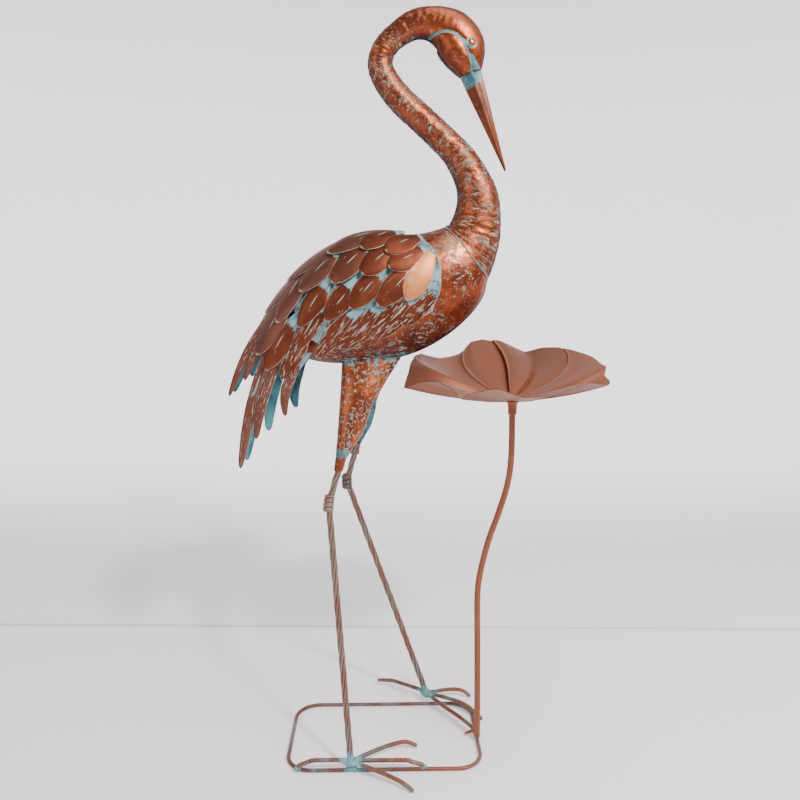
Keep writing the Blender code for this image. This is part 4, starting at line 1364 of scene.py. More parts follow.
@dataclass
class Tail:
    """The long feathers that hang from under the wing's rear edge on one side."""

    side: Side
    sheet: float = 0.0008
    seat: float = 7.0
    feathers: tuple = (
        ((-0.2060, 0.0210, 0.650), (-0.2715, 0.0180, 0.5340), 0.0140, 52),
        ((-0.2010, 0.0250, 0.630), (-0.2485, 0.0215, 0.5570), 0.0150, 66),
        ((-0.2080, 0.0290, 0.606), (-0.2580, 0.0240, 0.4300), 0.0190, 85),
        ((-0.1970, 0.0330, 0.596), (-0.2335, 0.0290, 0.4740), 0.0195, 101),
        ((-0.1760, 0.0370, 0.572), (-0.1910, 0.0350, 0.5080), 0.0165, 118),
    )
    far_shift: tuple = (0.0, 0.002, 0.000, 0.0085, 0.0070)
    far_wider: float = 1.25

    def feather(self, root: Point, tip: Point, width: float, angle: float) -> Shape:
        """One long feather, bowed along and domed across.

        Args:
            root: where it leaves the body, on the left side.
            tip: its tip, on the left side.
            width: its greatest width.
            angle: where it is seated round the body, in degrees.

        Returns:
            A closed thin shape.
        """
        side = self.side.value
        start, end = np.array(root) * (1, side, 1), np.array(tip) * (1, side, 1)
        run = unit(end - start)
        across = unit(np.cross(run, np.array((0.0, side, 0.0))))
        seat = FORM.point(self.seat, math.radians(angle), side, 0.0005)[0]
        rows, columns = 44, 13
        along = np.linspace(0, 1, rows)
        spine = start + (end - start) * along[:, None]
        spine = spine - across * (side * 0.006 * np.sin(math.pi * along))[:, None]
        wider = 1.0 if self.side is Side.RIGHT else self.far_wider
        outline = (0.75, 0.95, 0.90, 0.72, 0.50, 0.36, 0.12)
        half = width / 2 * wider * np.interp(along, (0, 0.25, 0.5, 0.75, 0.92, 0.975, 1.0), outline)
        lead = np.linspace(0, 1, 8, endpoint=False)
        spine = np.vstack([seat + (start - seat) * lead[:, None], spine])
        half = np.concatenate([width / 2 * (0.35 + 0.4 * lead), half])
        place = np.linspace(-1, 1, columns)
        dome = 0.0022 * (1 - place**2)
        grid = spine[:, None, :] + across * (half[:, None] * place[None, :])[..., None]
        grid[:, :, 1] += side * dome[None, :]
        rim = np.abs(place)[None, :] ** 6 + np.zeros((len(half), 1))
        reach = np.linspace(-0.15, 1, len(half))
        sideways = place[None, :] * half[:, None]
        marks = {
            "rim": rim,
            "streak": np.exp(-(((reach[:, None] - 0.35) / 0.60) ** 2)) * np.ones((1, columns)),
            "patina": (1 - eased(reach, -0.05, 0.12))[:, None] * 0.6 * np.ones((1, columns)),
            "grey": np.full((len(half), columns), 0.60),
            "flow": np.stack(
                np.broadcast_arrays(reach[:, None] * 0.10, sideways, angle * 0.41), axis=-1
            ),
        }
        if np.sum(grid_normals(grid)[..., 1]) * side < 0:
            grid = grid[:, ::-1]
            marks = {name: values[:, ::-1] for name, values in marks.items()}
        return plate(grid, self.sheet, marks)

    def build(self, shop: Workshop) -> None:
        """Adds the tail feathers of this side."""
        for number, (root, tip, width, angle) in enumerate(self.feathers, 1):
            if self.side is Side.LEFT:
                tip = (tip[0] + self.far_shift[number - 1], *tip[1:])
            name = f"{self.side.label}_tail_feather_{number}"
            leaf = self.feather(root, tip, width, angle)
            shop.add(f"{name}_cut", leaf, FeatherCopper(), Slot.DARK_COPPER, name)


@dataclass
class Leg:
    """A thigh shell, the twisted wires above and below the knee, the knee's winding and the foot."""

    side: Side
    sleeve: Point
    knee: Point
    ankle: Point
    lean: float
    toes: dict[str, tuple[Point, Point, Point]]
    thigh: tuple = (
        (0.433, -0.1225, -0.1089, 0.0520, 0.0068, 150),
        (0.448, -0.1202, -0.1048, 0.0511, 0.0077, 135),
        (0.461, -0.1190, -0.0965, 0.0480, 0.0100, 115),
        (0.480, -0.1175, -0.0840, 0.0430, 0.0125, 100),
        (0.502, -0.1160, -0.0750, 0.0370, 0.0140, 95),
        (0.524, -0.1145, -0.0680, 0.0310, 0.0148, 92),
        (0.548, -0.1130, -0.0530, 0.0240, 0.0150, 90),
        (0.588, -0.1110, -0.0270, 0.0120, 0.0125, 90),
    )
    wire_radius: float = 0.0019
    wire_offset: float = 0.0029
    wire_turn: float = 0.13
    knee_half: float = 0.0125
    toe_radius: float = 0.0030
    rubbed_from: tuple[float, ...] = (0.85, 0.45, 0.60, 0.25)

    def thigh_shape(self) -> Shape:
        """The stamped half shell, open towards the bird's middle."""
        side = self.side.value
        rows, columns = 90, 40
        got = smooth_rows(np.array(self.thigh, float), np.linspace(0, len(self.thigh) - 1, rows))
        height, rear, front, rim, deep, wrap = got.T
        shift = self.lean * (0.580 - height) / (0.580 - 0.433)
        share = np.linspace(-1, 1, columns)
        angle = np.radians(wrap)[:, None] * share[None, :]
        x = ((rear + front) / 2 + shift)[:, None] + ((front - rear) / 2)[:, None] * np.sin(angle)
        y = side * (rim[:, None] + deep[:, None] * np.cos(angle))
        grid = np.stack(np.broadcast_arrays(x, y, height[:, None]), axis=-1)
        normals = grid_normals(grid)
        facing = 1.0 if np.sum(normals[..., 1]) * side > 0 else -1.0
        relief = dimples(grid, 0.010) - 0.5 + 0.6 * speckle(grid, 160.0, 5.0)
        clear = 1 - eased(np.abs(share), 0.86, 1.0)
        grid = grid + normals * facing * (0.0006 * relief * clear[None, :])[..., None]
        up = (height - 0.433) / 0.147
        sleeve_band = np.exp(-(((up - 0.17) / 0.10) ** 2))[:, None] * np.ones((1, columns))
        top_band = eased(up, 0.90, 1.0)[:, None] * np.ones((1, columns))
        reach = np.broadcast_to(height[:, None], (rows, columns))
        marks = {
            "flow": np.stack([reach, angle * 0.014, np.full_like(reach, 0.4 * side)], axis=-1),
            "patina": np.maximum(sleeve_band * 0.60, top_band * 0.5),
            "dabs": (0.70 * eased(up, 0.12, 0.3))[:, None] * (1 - eased(share, 0.55, 0.9))[None, :],
            # Painted shade, darker toward the shell's rear edge.
            "shade": (0.25 * eased(-share, 0.3, 1.0))[None, :] * np.ones((rows, 1)),
        }
        if facing < 0:
            grid = grid[:, ::-1]
            marks = {name: values[:, ::-1] for name, values in marks.items()}
        shape = plate(grid, 0.0010, marks)
        shape.marks["patina"] = np.maximum(shape.marks["patina"], shape.marks["under"])
        return shape

    def bundle(self, start: Array, end: Array, turned: float, strands: int = 5) -> Shape:
        """Wires twisted together from start to end."""
        length = float(np.linalg.norm(end - start))
        steps = max(8, round(length / 0.004))
        share = np.linspace(0, 1, steps + 1)
        path = start + (end - start) * share[:, None]
        _, up, across = run_frames(path)
        parts = []
        for strand in range(strands):
            turn = turned + math.tau * (strand / strands + share * length / self.wire_turn)
            offset = self.wire_offset * (1 + 0.03 * np.sin(share * 19 + strand * 2.1))
            centre = path + up * (offset * np.cos(turn))[:, None] + across * (offset * np.sin(turn))[:, None]
            low = np.exp(-(((centre[:, 2] - self.ankle[2]) / 0.022) ** 2)) * 0.8
            wire = rod(centre, self.wire_radius, 12, patina=low, copper=np.full(len(centre), 0.09 * strand))
            rows = wire.points.reshape(len(path), -1, 3) - path[:, None, :]
            away = np.linalg.norm(rows, axis=-1)
            # Painted shade on the side of each wire that faces the bundle's middle.
            wire.marks["shade"] = (0.95 * (1 - eased(away, 0.0032, 0.0042))).reshape(-1, 1)
            parts.append(wire)
        return Shape.joined(parts)

    def knee_shape(self, axis: Array) -> Shape:
        """Rough windings round the wires at the bend, close together on the left leg."""
        heart = np.array(self.knee)
        close = self.side is Side.LEFT
        turns, thick = (5.5, 0.0023) if close else (6.5, 0.0018)
        count = 220
        share = np.linspace(0, 1, count)
        aside = unit(np.cross(axis, np.array((0.0, 1.0, 0.0))))
        other = np.cross(axis, aside)
        turn = share * turns * math.tau
        rough = speckle(np.stack([turn * 0.9, turn * 0, turn * 0], axis=-1), 1.0, 6.0)
        radius = 0.0058 + 0.0005 * rough
        slip = 0.0006 * np.sin(turn * 0.5 + 0.8)
        path = heart + axis * ((share - 0.5) * 2 * self.knee_half * 0.84 + slip)[:, None]
        path = path + aside * (radius * np.cos(turn))[:, None] + other * (radius * np.sin(turn))[:, None]
        bare = eased(rough, 0.1, 0.4) * 0.5
        wire = rod(path, thick + 0.0003 * rough, 10, patina=np.full(count, 0.16), copper=bare)
        core_path = heart + axis * (np.linspace(-1, 1, 12) * self.knee_half * 0.95)[:, None]
        core = rod(core_path, np.full(12, 0.0056), 16, patina=np.full(12, 0.20))
        return Shape.joined([wire, core])

    def weld_shape(self) -> Shape:
        """The lump of weld, drawn out towards the toes."""
        rows, columns = 22, 30
        lat = np.linspace(0.04, math.pi - 0.04, rows)
        lon = np.linspace(0, math.tau, columns, endpoint=False)
        way = np.stack(
            [
                np.sin(lat)[:, None] * np.cos(lon)[None, :],
                np.sin(lat)[:, None] * np.sin(lon)[None, :],
                np.cos(lat)[:, None] * np.ones((1, columns)),
            ],
            axis=-1,
        )
        reach = 1.0 + 0.10 * speckle(way, 2.6, 4.0 + self.side.value) + 0.05 * speckle(way, 7.0, 1.0)
        heart = np.array(self.ankle)
        for points in self.toes.values():
            to = unit((np.array(points[0]) - heart) * (1, 1, 0.2))
            reach = reach + 0.42 * np.exp((way @ to - 1) * 9)
        reach = reach + 0.75 * np.exp((way[..., 2] - 1) * 9)
        grid = heart - (0, 0, 0.0015) + way * np.array((0.0082, 0.0074, 0.0060)) * reach[..., None]
        grid[..., 2] = np.maximum(grid[..., 2], 0.0006)
        shape = loft(grid[::-1], {"patina": np.ones((rows, columns))})
        return shape

    def toe_shape(self, points: tuple[Point, Point, Point], rubbed: float) -> Shape:
        """A ribbed rod from the weld out to a bent-down tip, rubbed to copper past a place."""
        heart, first = np.array(self.ankle), np.array(points[0])
        level = np.array((heart[0], heart[1], max(heart[2], first[2])))
        start = level + unit(first - level) * 0.0045
        path = resampled(np.array([start, *points]), 0.0007)
        reach = np.linspace(0, 1, len(path))
        length = len(path) * 0.0007
        rib = np.sin(reach * length / 0.0034 * math.tau) * (1 - eased(reach, 0.70, 0.80))
        rib = rib * eased(reach * length, 0.006, 0.014)
        radius = self.toe_radius + 0.00015 + 0.00030 * rib
        radius[-3:] *= (0.93, 0.80, 0.55)
        radius[:1] *= 0.8
        patina = np.exp(-((reach * length / 0.017) ** 2)) * 0.9 + 0.34 * eased(reach, 0.80, 0.98)
        copper = 0.75 * eased(reach, rubbed - 0.12, rubbed + 0.08) * (1 - eased(reach, 0.78, 0.90))
        # Painted shade in the grooves between the ribs.
        return rod(path, radius, 14, patina=patina, copper=copper, shade=0.75 * eased(-rib, 0.1, 0.9))

    def build(self, shop: Workshop) -> None:
        """Adds the pieces of the leg."""
        label = self.side.label
        top, bend, ankle = (np.array(p) for p in (self.sleeve, self.knee, self.ankle))
        upper, lower = unit(top - bend), unit(bend - ankle)
        wire = WireSteel("leg_wire_dull_paint", brown=(0.20, 0.115, 0.092), grey=(0.22, 0.185, 0.150))
        copper = HammeredCopper(
            "thigh_copper_paint", copper=(0.35, 0.092, 0.033), dab_along=170.0, dab_around=250.0
        )
        shop.add(f"{label}_thigh_shell", self.thigh_shape(), copper, Slot.COPPER, f"{label}_thigh")
        above = self.bundle(bend + upper * self.knee_half * 0.7, top + upper * 0.012, 0.4)
        shop.add(f"{label}_upper_leg_twist", above, wire, Slot.WIRE, f"{label}_upper_leg_wires")
        knee = self.knee_shape(unit(upper + lower))
        bound = wire
        # Painted shade: the far knee gets a darker copy of the wire paint.
        if self.side is Side.LEFT:
            bound = WireSteel("knee_shaded_wire_paint", brown=(0.075, 0.050, 0.042), grey=(0.11, 0.095, 0.085))
        shop.add(f"{label}_knee_winding", knee, bound, Slot.WIRE, f"{label}_knee_collar")
        below = self.bundle(ankle + lower * 0.006, bend - lower * self.knee_half * 0.7, 0.0)
        shop.add(f"{label}_lower_leg_twist", below, wire, Slot.WIRE, f"{label}_lower_leg_wires")
        weld = WireSteel("weld_patina_paint")
        shop.add(f"{label}_foot_weld_lump", self.weld_shape(), weld, Slot.PATINA, f"{label}_foot_weld")
        rods = WireSteel("toe_rod_paint", grain=45.0)
        for number, (name, points) in enumerate(self.toes.items()):
            rubbed = self.rubbed_from[number]
            shop.add(f"{name}_rod", self.toe_shape(points, rubbed), rods, Slot.WIRE, name)


@dataclass
class Base:
    """The rod loop that the statue stands on, with its weld beads."""

    radius: float = 0.0029
    low: Flat = (-0.194, -0.0940)
    high: Flat = (0.089, 0.0755)
    corner: float = 0.036
    prong: tuple[Point, ...] = (
        (0.0868, -0.0140, 0.0125),
        (0.0800, -0.0128, 0.0088),
        (0.0715, -0.0125, 0.0050),
    )
    beads: tuple[tuple[Point, Point], ...] = (
        ((-0.1000, -0.0935, 0.0050), (0.0085, 0.0042, 0.0045)),
        ((-0.1770, -0.0932, 0.0055), (0.0052, 0.0034, 0.0044)),
        ((0.0035, -0.0935, 0.0055), (0.0052, 0.0034, 0.0044)),
        ((0.0890, -0.0130, 0.0070), (0.0036, 0.0050, 0.0055)),
        ((0.0885, -0.0215, 0.0052), (0.0050, 0.0050, 0.0040)),
    )

    def path(self) -> Array:
        """Points round the loop."""
        runs = []
        centres = (
            (self.high[0] - self.corner, self.high[1] - self.corner, 0),
            (self.low[0] + self.corner, self.high[1] - self.corner, 90),
            (self.low[0] + self.corner, self.low[1] + self.corner, 180),
            (self.high[0] - self.corner, self.low[1] + self.corner, 270),
        )
        for x, y, start in centres:
            angle = np.radians(start + np.linspace(0, 90, 16))
            arc = np.stack([x + self.corner * np.cos(angle), y + self.corner * np.sin(angle)], axis=1)
            runs.append(arc)
        flat = np.vstack(runs)
        flat = np.vstack([flat, flat[:1]])
        reach = np.concatenate([[0.0], np.cumsum(np.linalg.norm(np.diff(flat, axis=0), axis=1))])
        places = np.linspace(0, reach[-1], 300, endpoint=False)
        x, y = (np.interp(places, reach, flat[:, k]) for k in (0, 1))
        return np.stack([x, y, np.full(len(x), self.radius)], axis=1)

    def bead(self, spot: Point, size: Point, seed: float) -> Shape:
        """A rough bead of weld."""
        rows, columns = 12, 18
        lat = np.linspace(0.05, math.pi - 0.05, rows)
        lon = np.linspace(0, math.tau, columns, endpoint=False)
        ring = np.sin(lat)[:, None]
        way = np.stack([ring * np.cos(lon), ring * np.sin(lon), np.cos(lat)[:, None] + 0 * lon], axis=-1)
        grid = np.array(spot) + way * np.array(size) * (1 + 0.22 * speckle(way, 2.2, seed))[..., None]
        grid[..., 2] = np.maximum(grid[..., 2], 0.0002)
        return loft(grid[::-1], {"patina": np.full((rows, columns), 0.75)})

    def build(self, shop: Workshop) -> None:
        """Adds the loop and its beads."""
        path = self.path()
        near = path[:, 1] < -0.08
        weld = np.exp(-(((path[:, 0] + 0.094) / 0.020) ** 2)) * near
        grey = 0.44 * np.exp(-(((path[:, 0] + 0.150) / 0.045) ** 2)) * near
        right = np.exp(-(((path[:, 0] - 0.045) / 0.05) ** 2)) * near
        copper = np.maximum(eased(speckle(path, 9.0, 2.0), 0.0, 0.4) * 0.55, right * 0.9)
        loop = rod(path, self.radius, 16, True, patina=np.maximum(weld * 0.9, grey), copper=copper)
        beads = [self.bead(spot, size, float(seed)) for seed, (spot, size) in enumerate(self.beads, 1)]
        paint = WireSteel("base_rod_paint", brown=(0.135, 0.058, 0.045), grey=(0.17, 0.16, 0.16), grain=14.0)
        shop.add("base_loop_rod", Shape.joined([loop, *beads]), paint, Slot.WIRE, "base_loop")
        prong_path = resampled(np.array(self.prong), 0.001)
        prong_count = len(prong_path)
        prong = rod(prong_path, np.linspace(0.0028, 0.0019, prong_count), 12, copper=np.ones(prong_count))
        lump = self.bead((0.0865, -0.0160, 0.0125), (0.0048, 0.0056, 0.0062), 7.0)
        lump.marks["patina"] = lump.marks["patina"] * 0.2
        lump.marks["copper"] = np.ones_like(lump.marks["patina"])
        rods = WireSteel("toe_rod_paint", grain=45.0)
        shop.add("stem_foot_weld", Shape.joined([prong, lump]), rods, Slot.WIRE, "left_front_toe")


@dataclass
class LeafDish:
    """The lotus-leaf dish, its collar and its stem."""

    stem: tuple[Point, ...] = (
        (0.0888, -0.022, 0.0062),
        (0.0885, -0.022, 0.065),
        (0.0870, -0.022, 0.165),
        (0.0860, -0.022, 0.231),
        (0.0890, -0.023, 0.267),
        (0.1000, -0.024, 0.317),
        (0.1140, -0.025, 0.360),
        (0.1260, -0.025, 0.402),
        (0.1310, -0.025, 0.443),
        (0.1310, -0.025, 0.5095),
    )
    collar: tuple[Flat, ...] = (
        (0.0048, -0.0030), (0.0060, -0.0020), (0.0062, 0.0), (0.0063, 0.006),
        (0.0066, 0.011), (0.0080, 0.0145), (0.0110, 0.0162), (0.0120, 0.0172),
    )
    stem_radius: float = 0.0046
    centre: Flat = (0.1245, -0.011)
    radius: float = 0.1430
    depth_share: float = 0.95
    bottom: float = 0.5270
    sheet: float = 0.0011
    overlap: float = 0.0021
    belly: float = 0.0120
    borders: tuple[Point, ...] = (
        (-18, -10, 0.6), (43, -23, 0.5), (69, -12, 0.35), (91, -8, 1.0), (110, 15, 0.9),
        (150, 34, 1.1),
        (190, 12, 0.6), (238, 0, 0.7), (285, 0, 0.6),
    )
    rim_heights: tuple[Flat, ...] = (
        (-12, 0.5555), (-6, 0.5620), (-1, 0.5735), (3, 0.5750), (12, 0.5790), (20, 0.5830),
        (34, 0.5895), (46, 0.5930), (58, 0.5900),
        (68, 0.5840), (76, 0.5900), (86, 0.6000), (97, 0.6030), (105, 0.5990), (110, 0.5880),
        (115, 0.5810),
        (122, 0.5770), (131, 0.5755), (140, 0.5800), (148, 0.5855), (155, 0.5860), (162, 0.5830),
        (170, 0.5760),
        (179, 0.5610), (187, 0.5450), (194, 0.5520), (206, 0.5600), (220, 0.5640), (230, 0.5580),
        (237, 0.5440),
        (242, 0.5530), (256, 0.5600), (270, 0.5490), (284, 0.5490),
        (296, 0.5570), (312, 0.5620), (328, 0.5560), (338, 0.5520),
    )
    rim_reach: tuple[Flat, ...] = (
        (-12, 1.035), (-6, 0.985), (-1, 1.020), (5, 0.990), (20, 1.02), (34, 0.99), (46, 1.00),
        (68, 0.965), (85, 1.00), (97, 1.01),
        (110, 0.98), (130, 0.96), (150, 0.995), (165, 0.965), (178, 0.99), (187, 1.045),
        (196, 1.00), (208, 0.97),
        (225, 0.98), (233, 0.98), (239, 1.02), (244, 0.97), (256, 0.99), (272, 1.00), (285, 0.96),
        (305, 0.99), (325, 0.97), (338, 0.99),
    )

    def leaf_shape(self) -> Shape:
        """The dish: petals whose edges lie over their neighbours, with an uneven rim."""
        rows, per_petal = 60, 26
        table = np.array(self.borders, float)
        turns = np.vstack([table, table[:1] + (360.0, 0.0, 0.0)])
        share = np.linspace(0.02, 1, rows)[:, None]
        within = np.linspace(0, 1, per_petal)[None, :]
        bend = 4 * share * (1 - share)
        parts, fold, crest = [], [], []
        for number, (first, last) in enumerate(zip(turns, turns[1:])):
            rim = first[0] + (last[0] - first[0]) * within
            start, end = first[0] + first[1] * bend, last[0] + last[1] * bend
            angle = np.radians(start + (end - start) * within)
            tip_height, tip_reach = self.around(self.rim_heights, rim), self.around(self.rim_reach, rim)
            deep = 1.45 + 0.25 * math.sin(number * 2.3)
            height = self.bottom + (tip_height - self.bottom) * share**deep
            bulge = self.belly * (1 + 0.4 * math.sin(number * 1.7))
            height = height + bulge * np.sin(math.pi * within) * share * (1.1 - share)
            height = height + self.overlap * last[2] * (within**1.5 - 0.4) * eased(share, 0.03, 0.35)
            reach = self.radius * share * tip_reach
            x = self.stem[-1][0] + (self.centre[0] - self.stem[-1][0]) * share + reach * np.cos(angle)
            y = self.stem[-1][1] + (self.centre[1] - self.stem[-1][1]) * share
            y = y + reach * self.depth_share * np.sin(angle)
            parts.append(np.stack(np.broadcast_arrays(x, y, height), axis=-1))
            out = eased(share, 0.05, 0.25)
            # Painted shadow at the start of each petal, under its neighbour's raised edge.
            fold.append(np.exp(-((within / 0.05) ** 2)) * out * first[2] * 0.8)
            # Painted highlight along each petal's raised end edge.
            crest.append(np.exp(-(((1 - within) / 0.05) ** 2)) * out * 0.8 * last[2])
        grid = np.concatenate(parts, axis=1)
        columns = grid.shape[1]
        count = rows * columns
        normals = grid_normals(grid, True)
        if normals[..., 2].mean() < 0:
            normals = -normals
        normals = unit(normals * np.array((0.35, 0.35, 1.0)))
        under = grid - normals * self.sheet
        faces = [tuple(reversed(face)) for face in grid_faces(rows, columns, True)]
        faces += grid_faces(rows, columns, True, count)
        for c in range(columns):
            n = (c + 1) % columns
            a = (rows - 1) * columns
            faces.append((a + c, a + n, a + n + count, a + c + count))
        faces.append(tuple(range(columns)))
        faces.append(tuple(reversed(range(count, count + columns))))
        marks = {}
        for name, values in (("fold", fold), ("crest", crest)):
            flat = np.concatenate(values, axis=1).reshape(-1)
            marks[name] = np.concatenate([flat, flat * 0.5])[:, None]
        points = np.vstack([grid.reshape(-1, 3), under.reshape(-1, 3)])
        middle, limit = self.stem[-1][0], CAD_BOX[1][0] - 0.0002
        reach = max(points[:, 0].max() - middle, limit - middle)
        points[:, 0] = np.where(
            points[:, 0] > middle, middle + (points[:, 0] - middle) * (limit - middle) / reach, points[:, 0]
        )
        return Shape(points, faces, marks)

    @staticmethod
    def around(table: tuple[Flat, ...], angle: Array) -> Array:
        """Reads a table of degrees and values at angles, round and round."""
        rows = np.array(table)
        places = np.concatenate([rows[-1:, 0] - 360, rows[:, 0], rows[:1, 0] + 360])
        values = np.concatenate([rows[-1:, 1], rows[:, 1], rows[:1, 1]])
        return np.interp((angle - rows[0, 0]) % 360.0 + rows[0, 0], places, values)

    def collar_shape(self) -> Shape:
        """The short flared sleeve under the leaf."""
        x, y, top = self.stem[-1]
        profile = np.array(self.collar)
        turn = np.linspace(0, math.tau, 32, endpoint=False)
        circle = np.stack([np.cos(turn), np.sin(turn), 0 * turn], axis=1)
        grid = np.array((x, y, top)) + circle[None] * profile[:, 0][:, None, None]
        grid[..., 2] += profile[:, 1][:, None]
        return loft(grid, {"fold": np.zeros(grid.shape[:2])})

    def build(self, shop: Workshop) -> None:
        """Adds the stem, collar and dish."""
        path = resampled(np.array(self.stem), 0.004)
        copper = WireSteel(
            "stem_copper_paint", brown=(0.19, 0.066, 0.034), grey=(0.20, 0.088, 0.055), grain=22.0
        )
        foot = np.exp(-(((path[:, 2] - 0.004) / 0.012) ** 2))
        stem = rod(path, self.stem_radius, 20, patina=0.35 * foot, copper=0.5 + 0.4 * foot)
        shop.add("stem_rod", stem, copper, Slot.LEAF, "stem")
        shop.add("stem_collar_sleeve", self.collar_shape(), LeafPaint(), Slot.LEAF, "stem_collar")
        shop.add("leaf_dish_folded", self.leaf_shape(), LeafPaint(), Slot.LEAF, "leaf_dish", sharp=50.0)


@dataclass
class Studio:
    """The camera, the soft lights, and the pale floor and backdrop."""

    camera_at: Point = (-0.05128, -1.07624, 0.69018)
    pitch: float = 8.76
    yaw: float = 1.21
    lens: float = 33.75
    flat_reach: float = 3.0
    bend_wide: float = 1.4
    bend_high: float = 1.6
    top: float = 6.0
    top_dusk: float = 0.42
    floor_share: float = 0.20
    # Where the painted shadow line crosses the floor at each end, and its width.
    shade_line_y: tuple[float, float] = (0.4562, 0.2611)
    shade_line_wide: float = 0.010
    air: Colour = (0.80, 0.80, 0.83)
    air_strength: float = 0.12
    lamps: tuple[tuple[str, Point, Point, float, float, Colour], ...] = (
        ("key_lamp", (1.05, -1.70, 2.25), (0.0, 0.0, 0.60), 0.24, 66.0, (1.0, 0.97, 0.94)),
        ("soft_box_lamp", (1.7, -1.3, 2.0), (0.0, 0.0, 0.70), 1.3, 42.0, (1.0, 0.97, 0.95)),
        ("fill_lamp", (-1.9, -1.7, 1.3), (0.0, 0.0, 0.5), 1.4, 20.0, (0.95, 0.96, 1.0)),
        ("top_lamp", (0.4, -0.3, 2.8), (0.0, 0.1, 0.4), 1.2, 16.0, (1.0, 0.98, 1.0)),
    )

    def camera(self) -> None:
        """Sets the camera at the photograph's viewing angle."""
        data = bpy.data.cameras.new("camera")
        data.lens = self.lens
        data.sensor_width = 36.0
        made = bpy.data.objects.new("camera", data)
        made.location = self.camera_at
        made.rotation_euler = (math.radians(90 - self.pitch), 0.0, math.radians(-self.yaw))
        bpy.context.scene.collection.objects.link(made)
        bpy.context.scene.camera = made

    def lamp(self, name: str, at: Point, towards: Point, size: float, power: float, tint: Colour) -> None:
        """Adds a soft square lamp.

        Args:
            name: the lamp's name.
            at: where it is.
            towards: what it looks at.
            size: the side of its square.
            power: watts.
            tint: its colour.
        """
        data = bpy.data.lights.new(name, "AREA")
        data.shape = "SQUARE"
        data.size = size
        data.energy = power
        data.color = tint
        made = bpy.data.objects.new(name, data)
        made.location = at
        way = Vector(towards) - Vector(at)
        made.rotation_euler = way.to_track_quat("-Z", "Y").to_euler()
        made.visible_camera = False
        bpy.context.scene.collection.objects.link(made)

    def sweep(self) -> Shape:
        """The round floor, which bends up into the backdrop all round the statue."""
        bend = np.radians(np.linspace(0, 90, 13))
        flat = np.arange(0.0, self.flat_reach, 0.25)
        reach = np.concatenate([flat, self.flat_reach + self.bend_wide * np.sin(bend)])
        high = np.concatenate([np.zeros(len(flat)), self.bend_high * (1 - np.cos(bend))])
        wall = np.linspace(self.bend_high, self.top, 8)[1:]
        reach, high = np.concatenate([reach, np.full(len(wall), reach[-1])]), np.concatenate([high, wall])
        turn = np.linspace(0, math.tau, 96, endpoint=False)
        x, y = reach[:, None] * np.sin(turn), reach[:, None] * np.cos(turn)
        z = np.broadcast_to(high[:, None], x.shape)
        rear = eased(y, 0.4, 2.0) * eased(y / np.maximum(np.hypot(x, y), 0.1), 0.1, 0.75)
        rear = rear * (1 - self.top_dusk * eased(z, 0.5, 3.2))
        rear = np.maximum(rear, self.floor_share * (1 - eased(np.hypot(x, y), 1.6, 3.6)))
        points = np.stack([x, y, z], -1).reshape(-1, 3)
        return Shape(points, grid_faces(len(reach), len(turn), True), {"rear": rear.reshape(-1, 1)})

    def seam(self) -> Shape:
        """A faint darker strip across the floor: a painted shadow line where the floor would meet a wall."""
        ends = np.array([(-2.9, self.shade_line_y[0]), (2.9, self.shade_line_y[1])])
        strip = [(x, y + back, 0.0004) for back in (0.0, self.shade_line_wide) for x, y in ends]
        return Shape(np.array(strip), [(0, 1, 3, 2)])

    def build(self, shop: Workshop) -> None:
        """Adds the camera, lamps, world, floor and backdrop."""
        self.camera()
        for lamp in self.lamps:
            self.lamp(*lamp)
        world = bpy.data.worlds.new("studio_air")
        bpy.context.scene.world = world
        world.use_nodes = True
        air = world.node_tree.nodes["Background"]
        air.inputs["Color"].default_value = (*self.air, 1.0)
        air.inputs["Strength"].default_value = self.air_strength
        floor_paint = StagePaint("floor_paint", (0.90, 0.855, 0.880), near_glow=0.07, rear_glow=1.35)
        # Painted shadow: a darker strip across the floor where a wall would meet it.
        shadow_line_paint = StagePaint("shadow_line_paint", (0.78, 0.74, 0.755), near_glow=0.10, rear_glow=0.10, dim=1.0)
        floor = shop.mesh("floor", self.sweep(), floor_paint)
        line = shop.mesh("floor_shadow_line", self.seam(), shadow_line_paint)


RIGHT_LEG = Leg(
    side=Side.RIGHT,
    sleeve=(-0.1136, -0.0513, 0.4400),
    knee=(-0.1295, -0.0600, 0.3880),
    ankle=(-0.1010, -0.0930, 0.0160),
    lean=0.0,
    toes={
        "right_back_toe": ((-0.151, -0.093, 0.018), (-0.162, -0.093, 0.0155), (-0.178, -0.0930, 0.0090)),
        "right_middle_toe": ((-0.024, -0.094, 0.017), (-0.014, -0.094, 0.0145), (0.004, -0.0940, 0.0090)),
        "right_inner_toe": ((-0.055, -0.062, 0.016), (-0.023, -0.044, 0.013), (-0.004, -0.0420, 0.0050)),
        "right_outer_toe": ((-0.062, -0.111, 0.012), (-0.031, -0.130, 0.0095), (-0.013, -0.1435, 0.0040)),
    },
)
LEFT_LEG = Leg(
    side=Side.LEFT,
    sleeve=(-0.0953, 0.0513, 0.4400),
    knee=(-0.1100, 0.0600, 0.3880),
    ankle=(0.0170, 0.0870, 0.0160),
    lean=0.019,
    toes={
        "left_back_toe": ((-0.028, 0.117, 0.018), (-0.043, 0.128, 0.0160), (-0.064, 0.1430, 0.0080)),
        "left_far_toe": ((0.056, 0.098, 0.015), (0.078, 0.100, 0.0120), (0.092, 0.0940, 0.0040)),
        "left_middle_toe": ((0.053, 0.070, 0.015), (0.080, 0.053, 0.0130), (0.103, 0.0265, 0.0040)),
        "left_front_toe": ((0.044, 0.046, 0.015), (0.067, 0.018, 0.0130), (0.086, -0.0125, 0.0120)),
    },
)


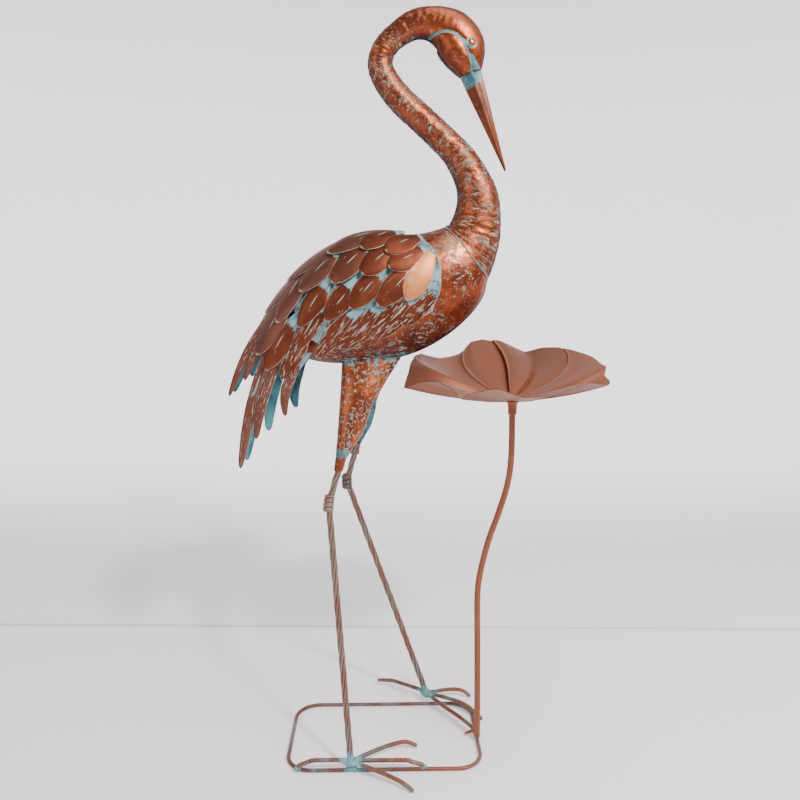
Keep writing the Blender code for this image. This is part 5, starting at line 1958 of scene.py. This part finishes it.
def main() -> None:
    """Builds every piece round the frame."""
    logging.basicConfig(level=logging.INFO, format="%(message)s")
    shop = Workshop()
    Studio().build(shop)
    Body().build(shop)
    NeckAndHead().build(shop)
    for side in Side:
        Wing(side).build(shop)
        Tail(side).build(shop)
    RIGHT_LEG.build(shop)
    LEFT_LEG.build(shop)
    Base().build(shop)
    LeafDish().build(shop)
    LOG.info("%d pieces", len(shop.made))


if __name__ == "__main__":
    main()
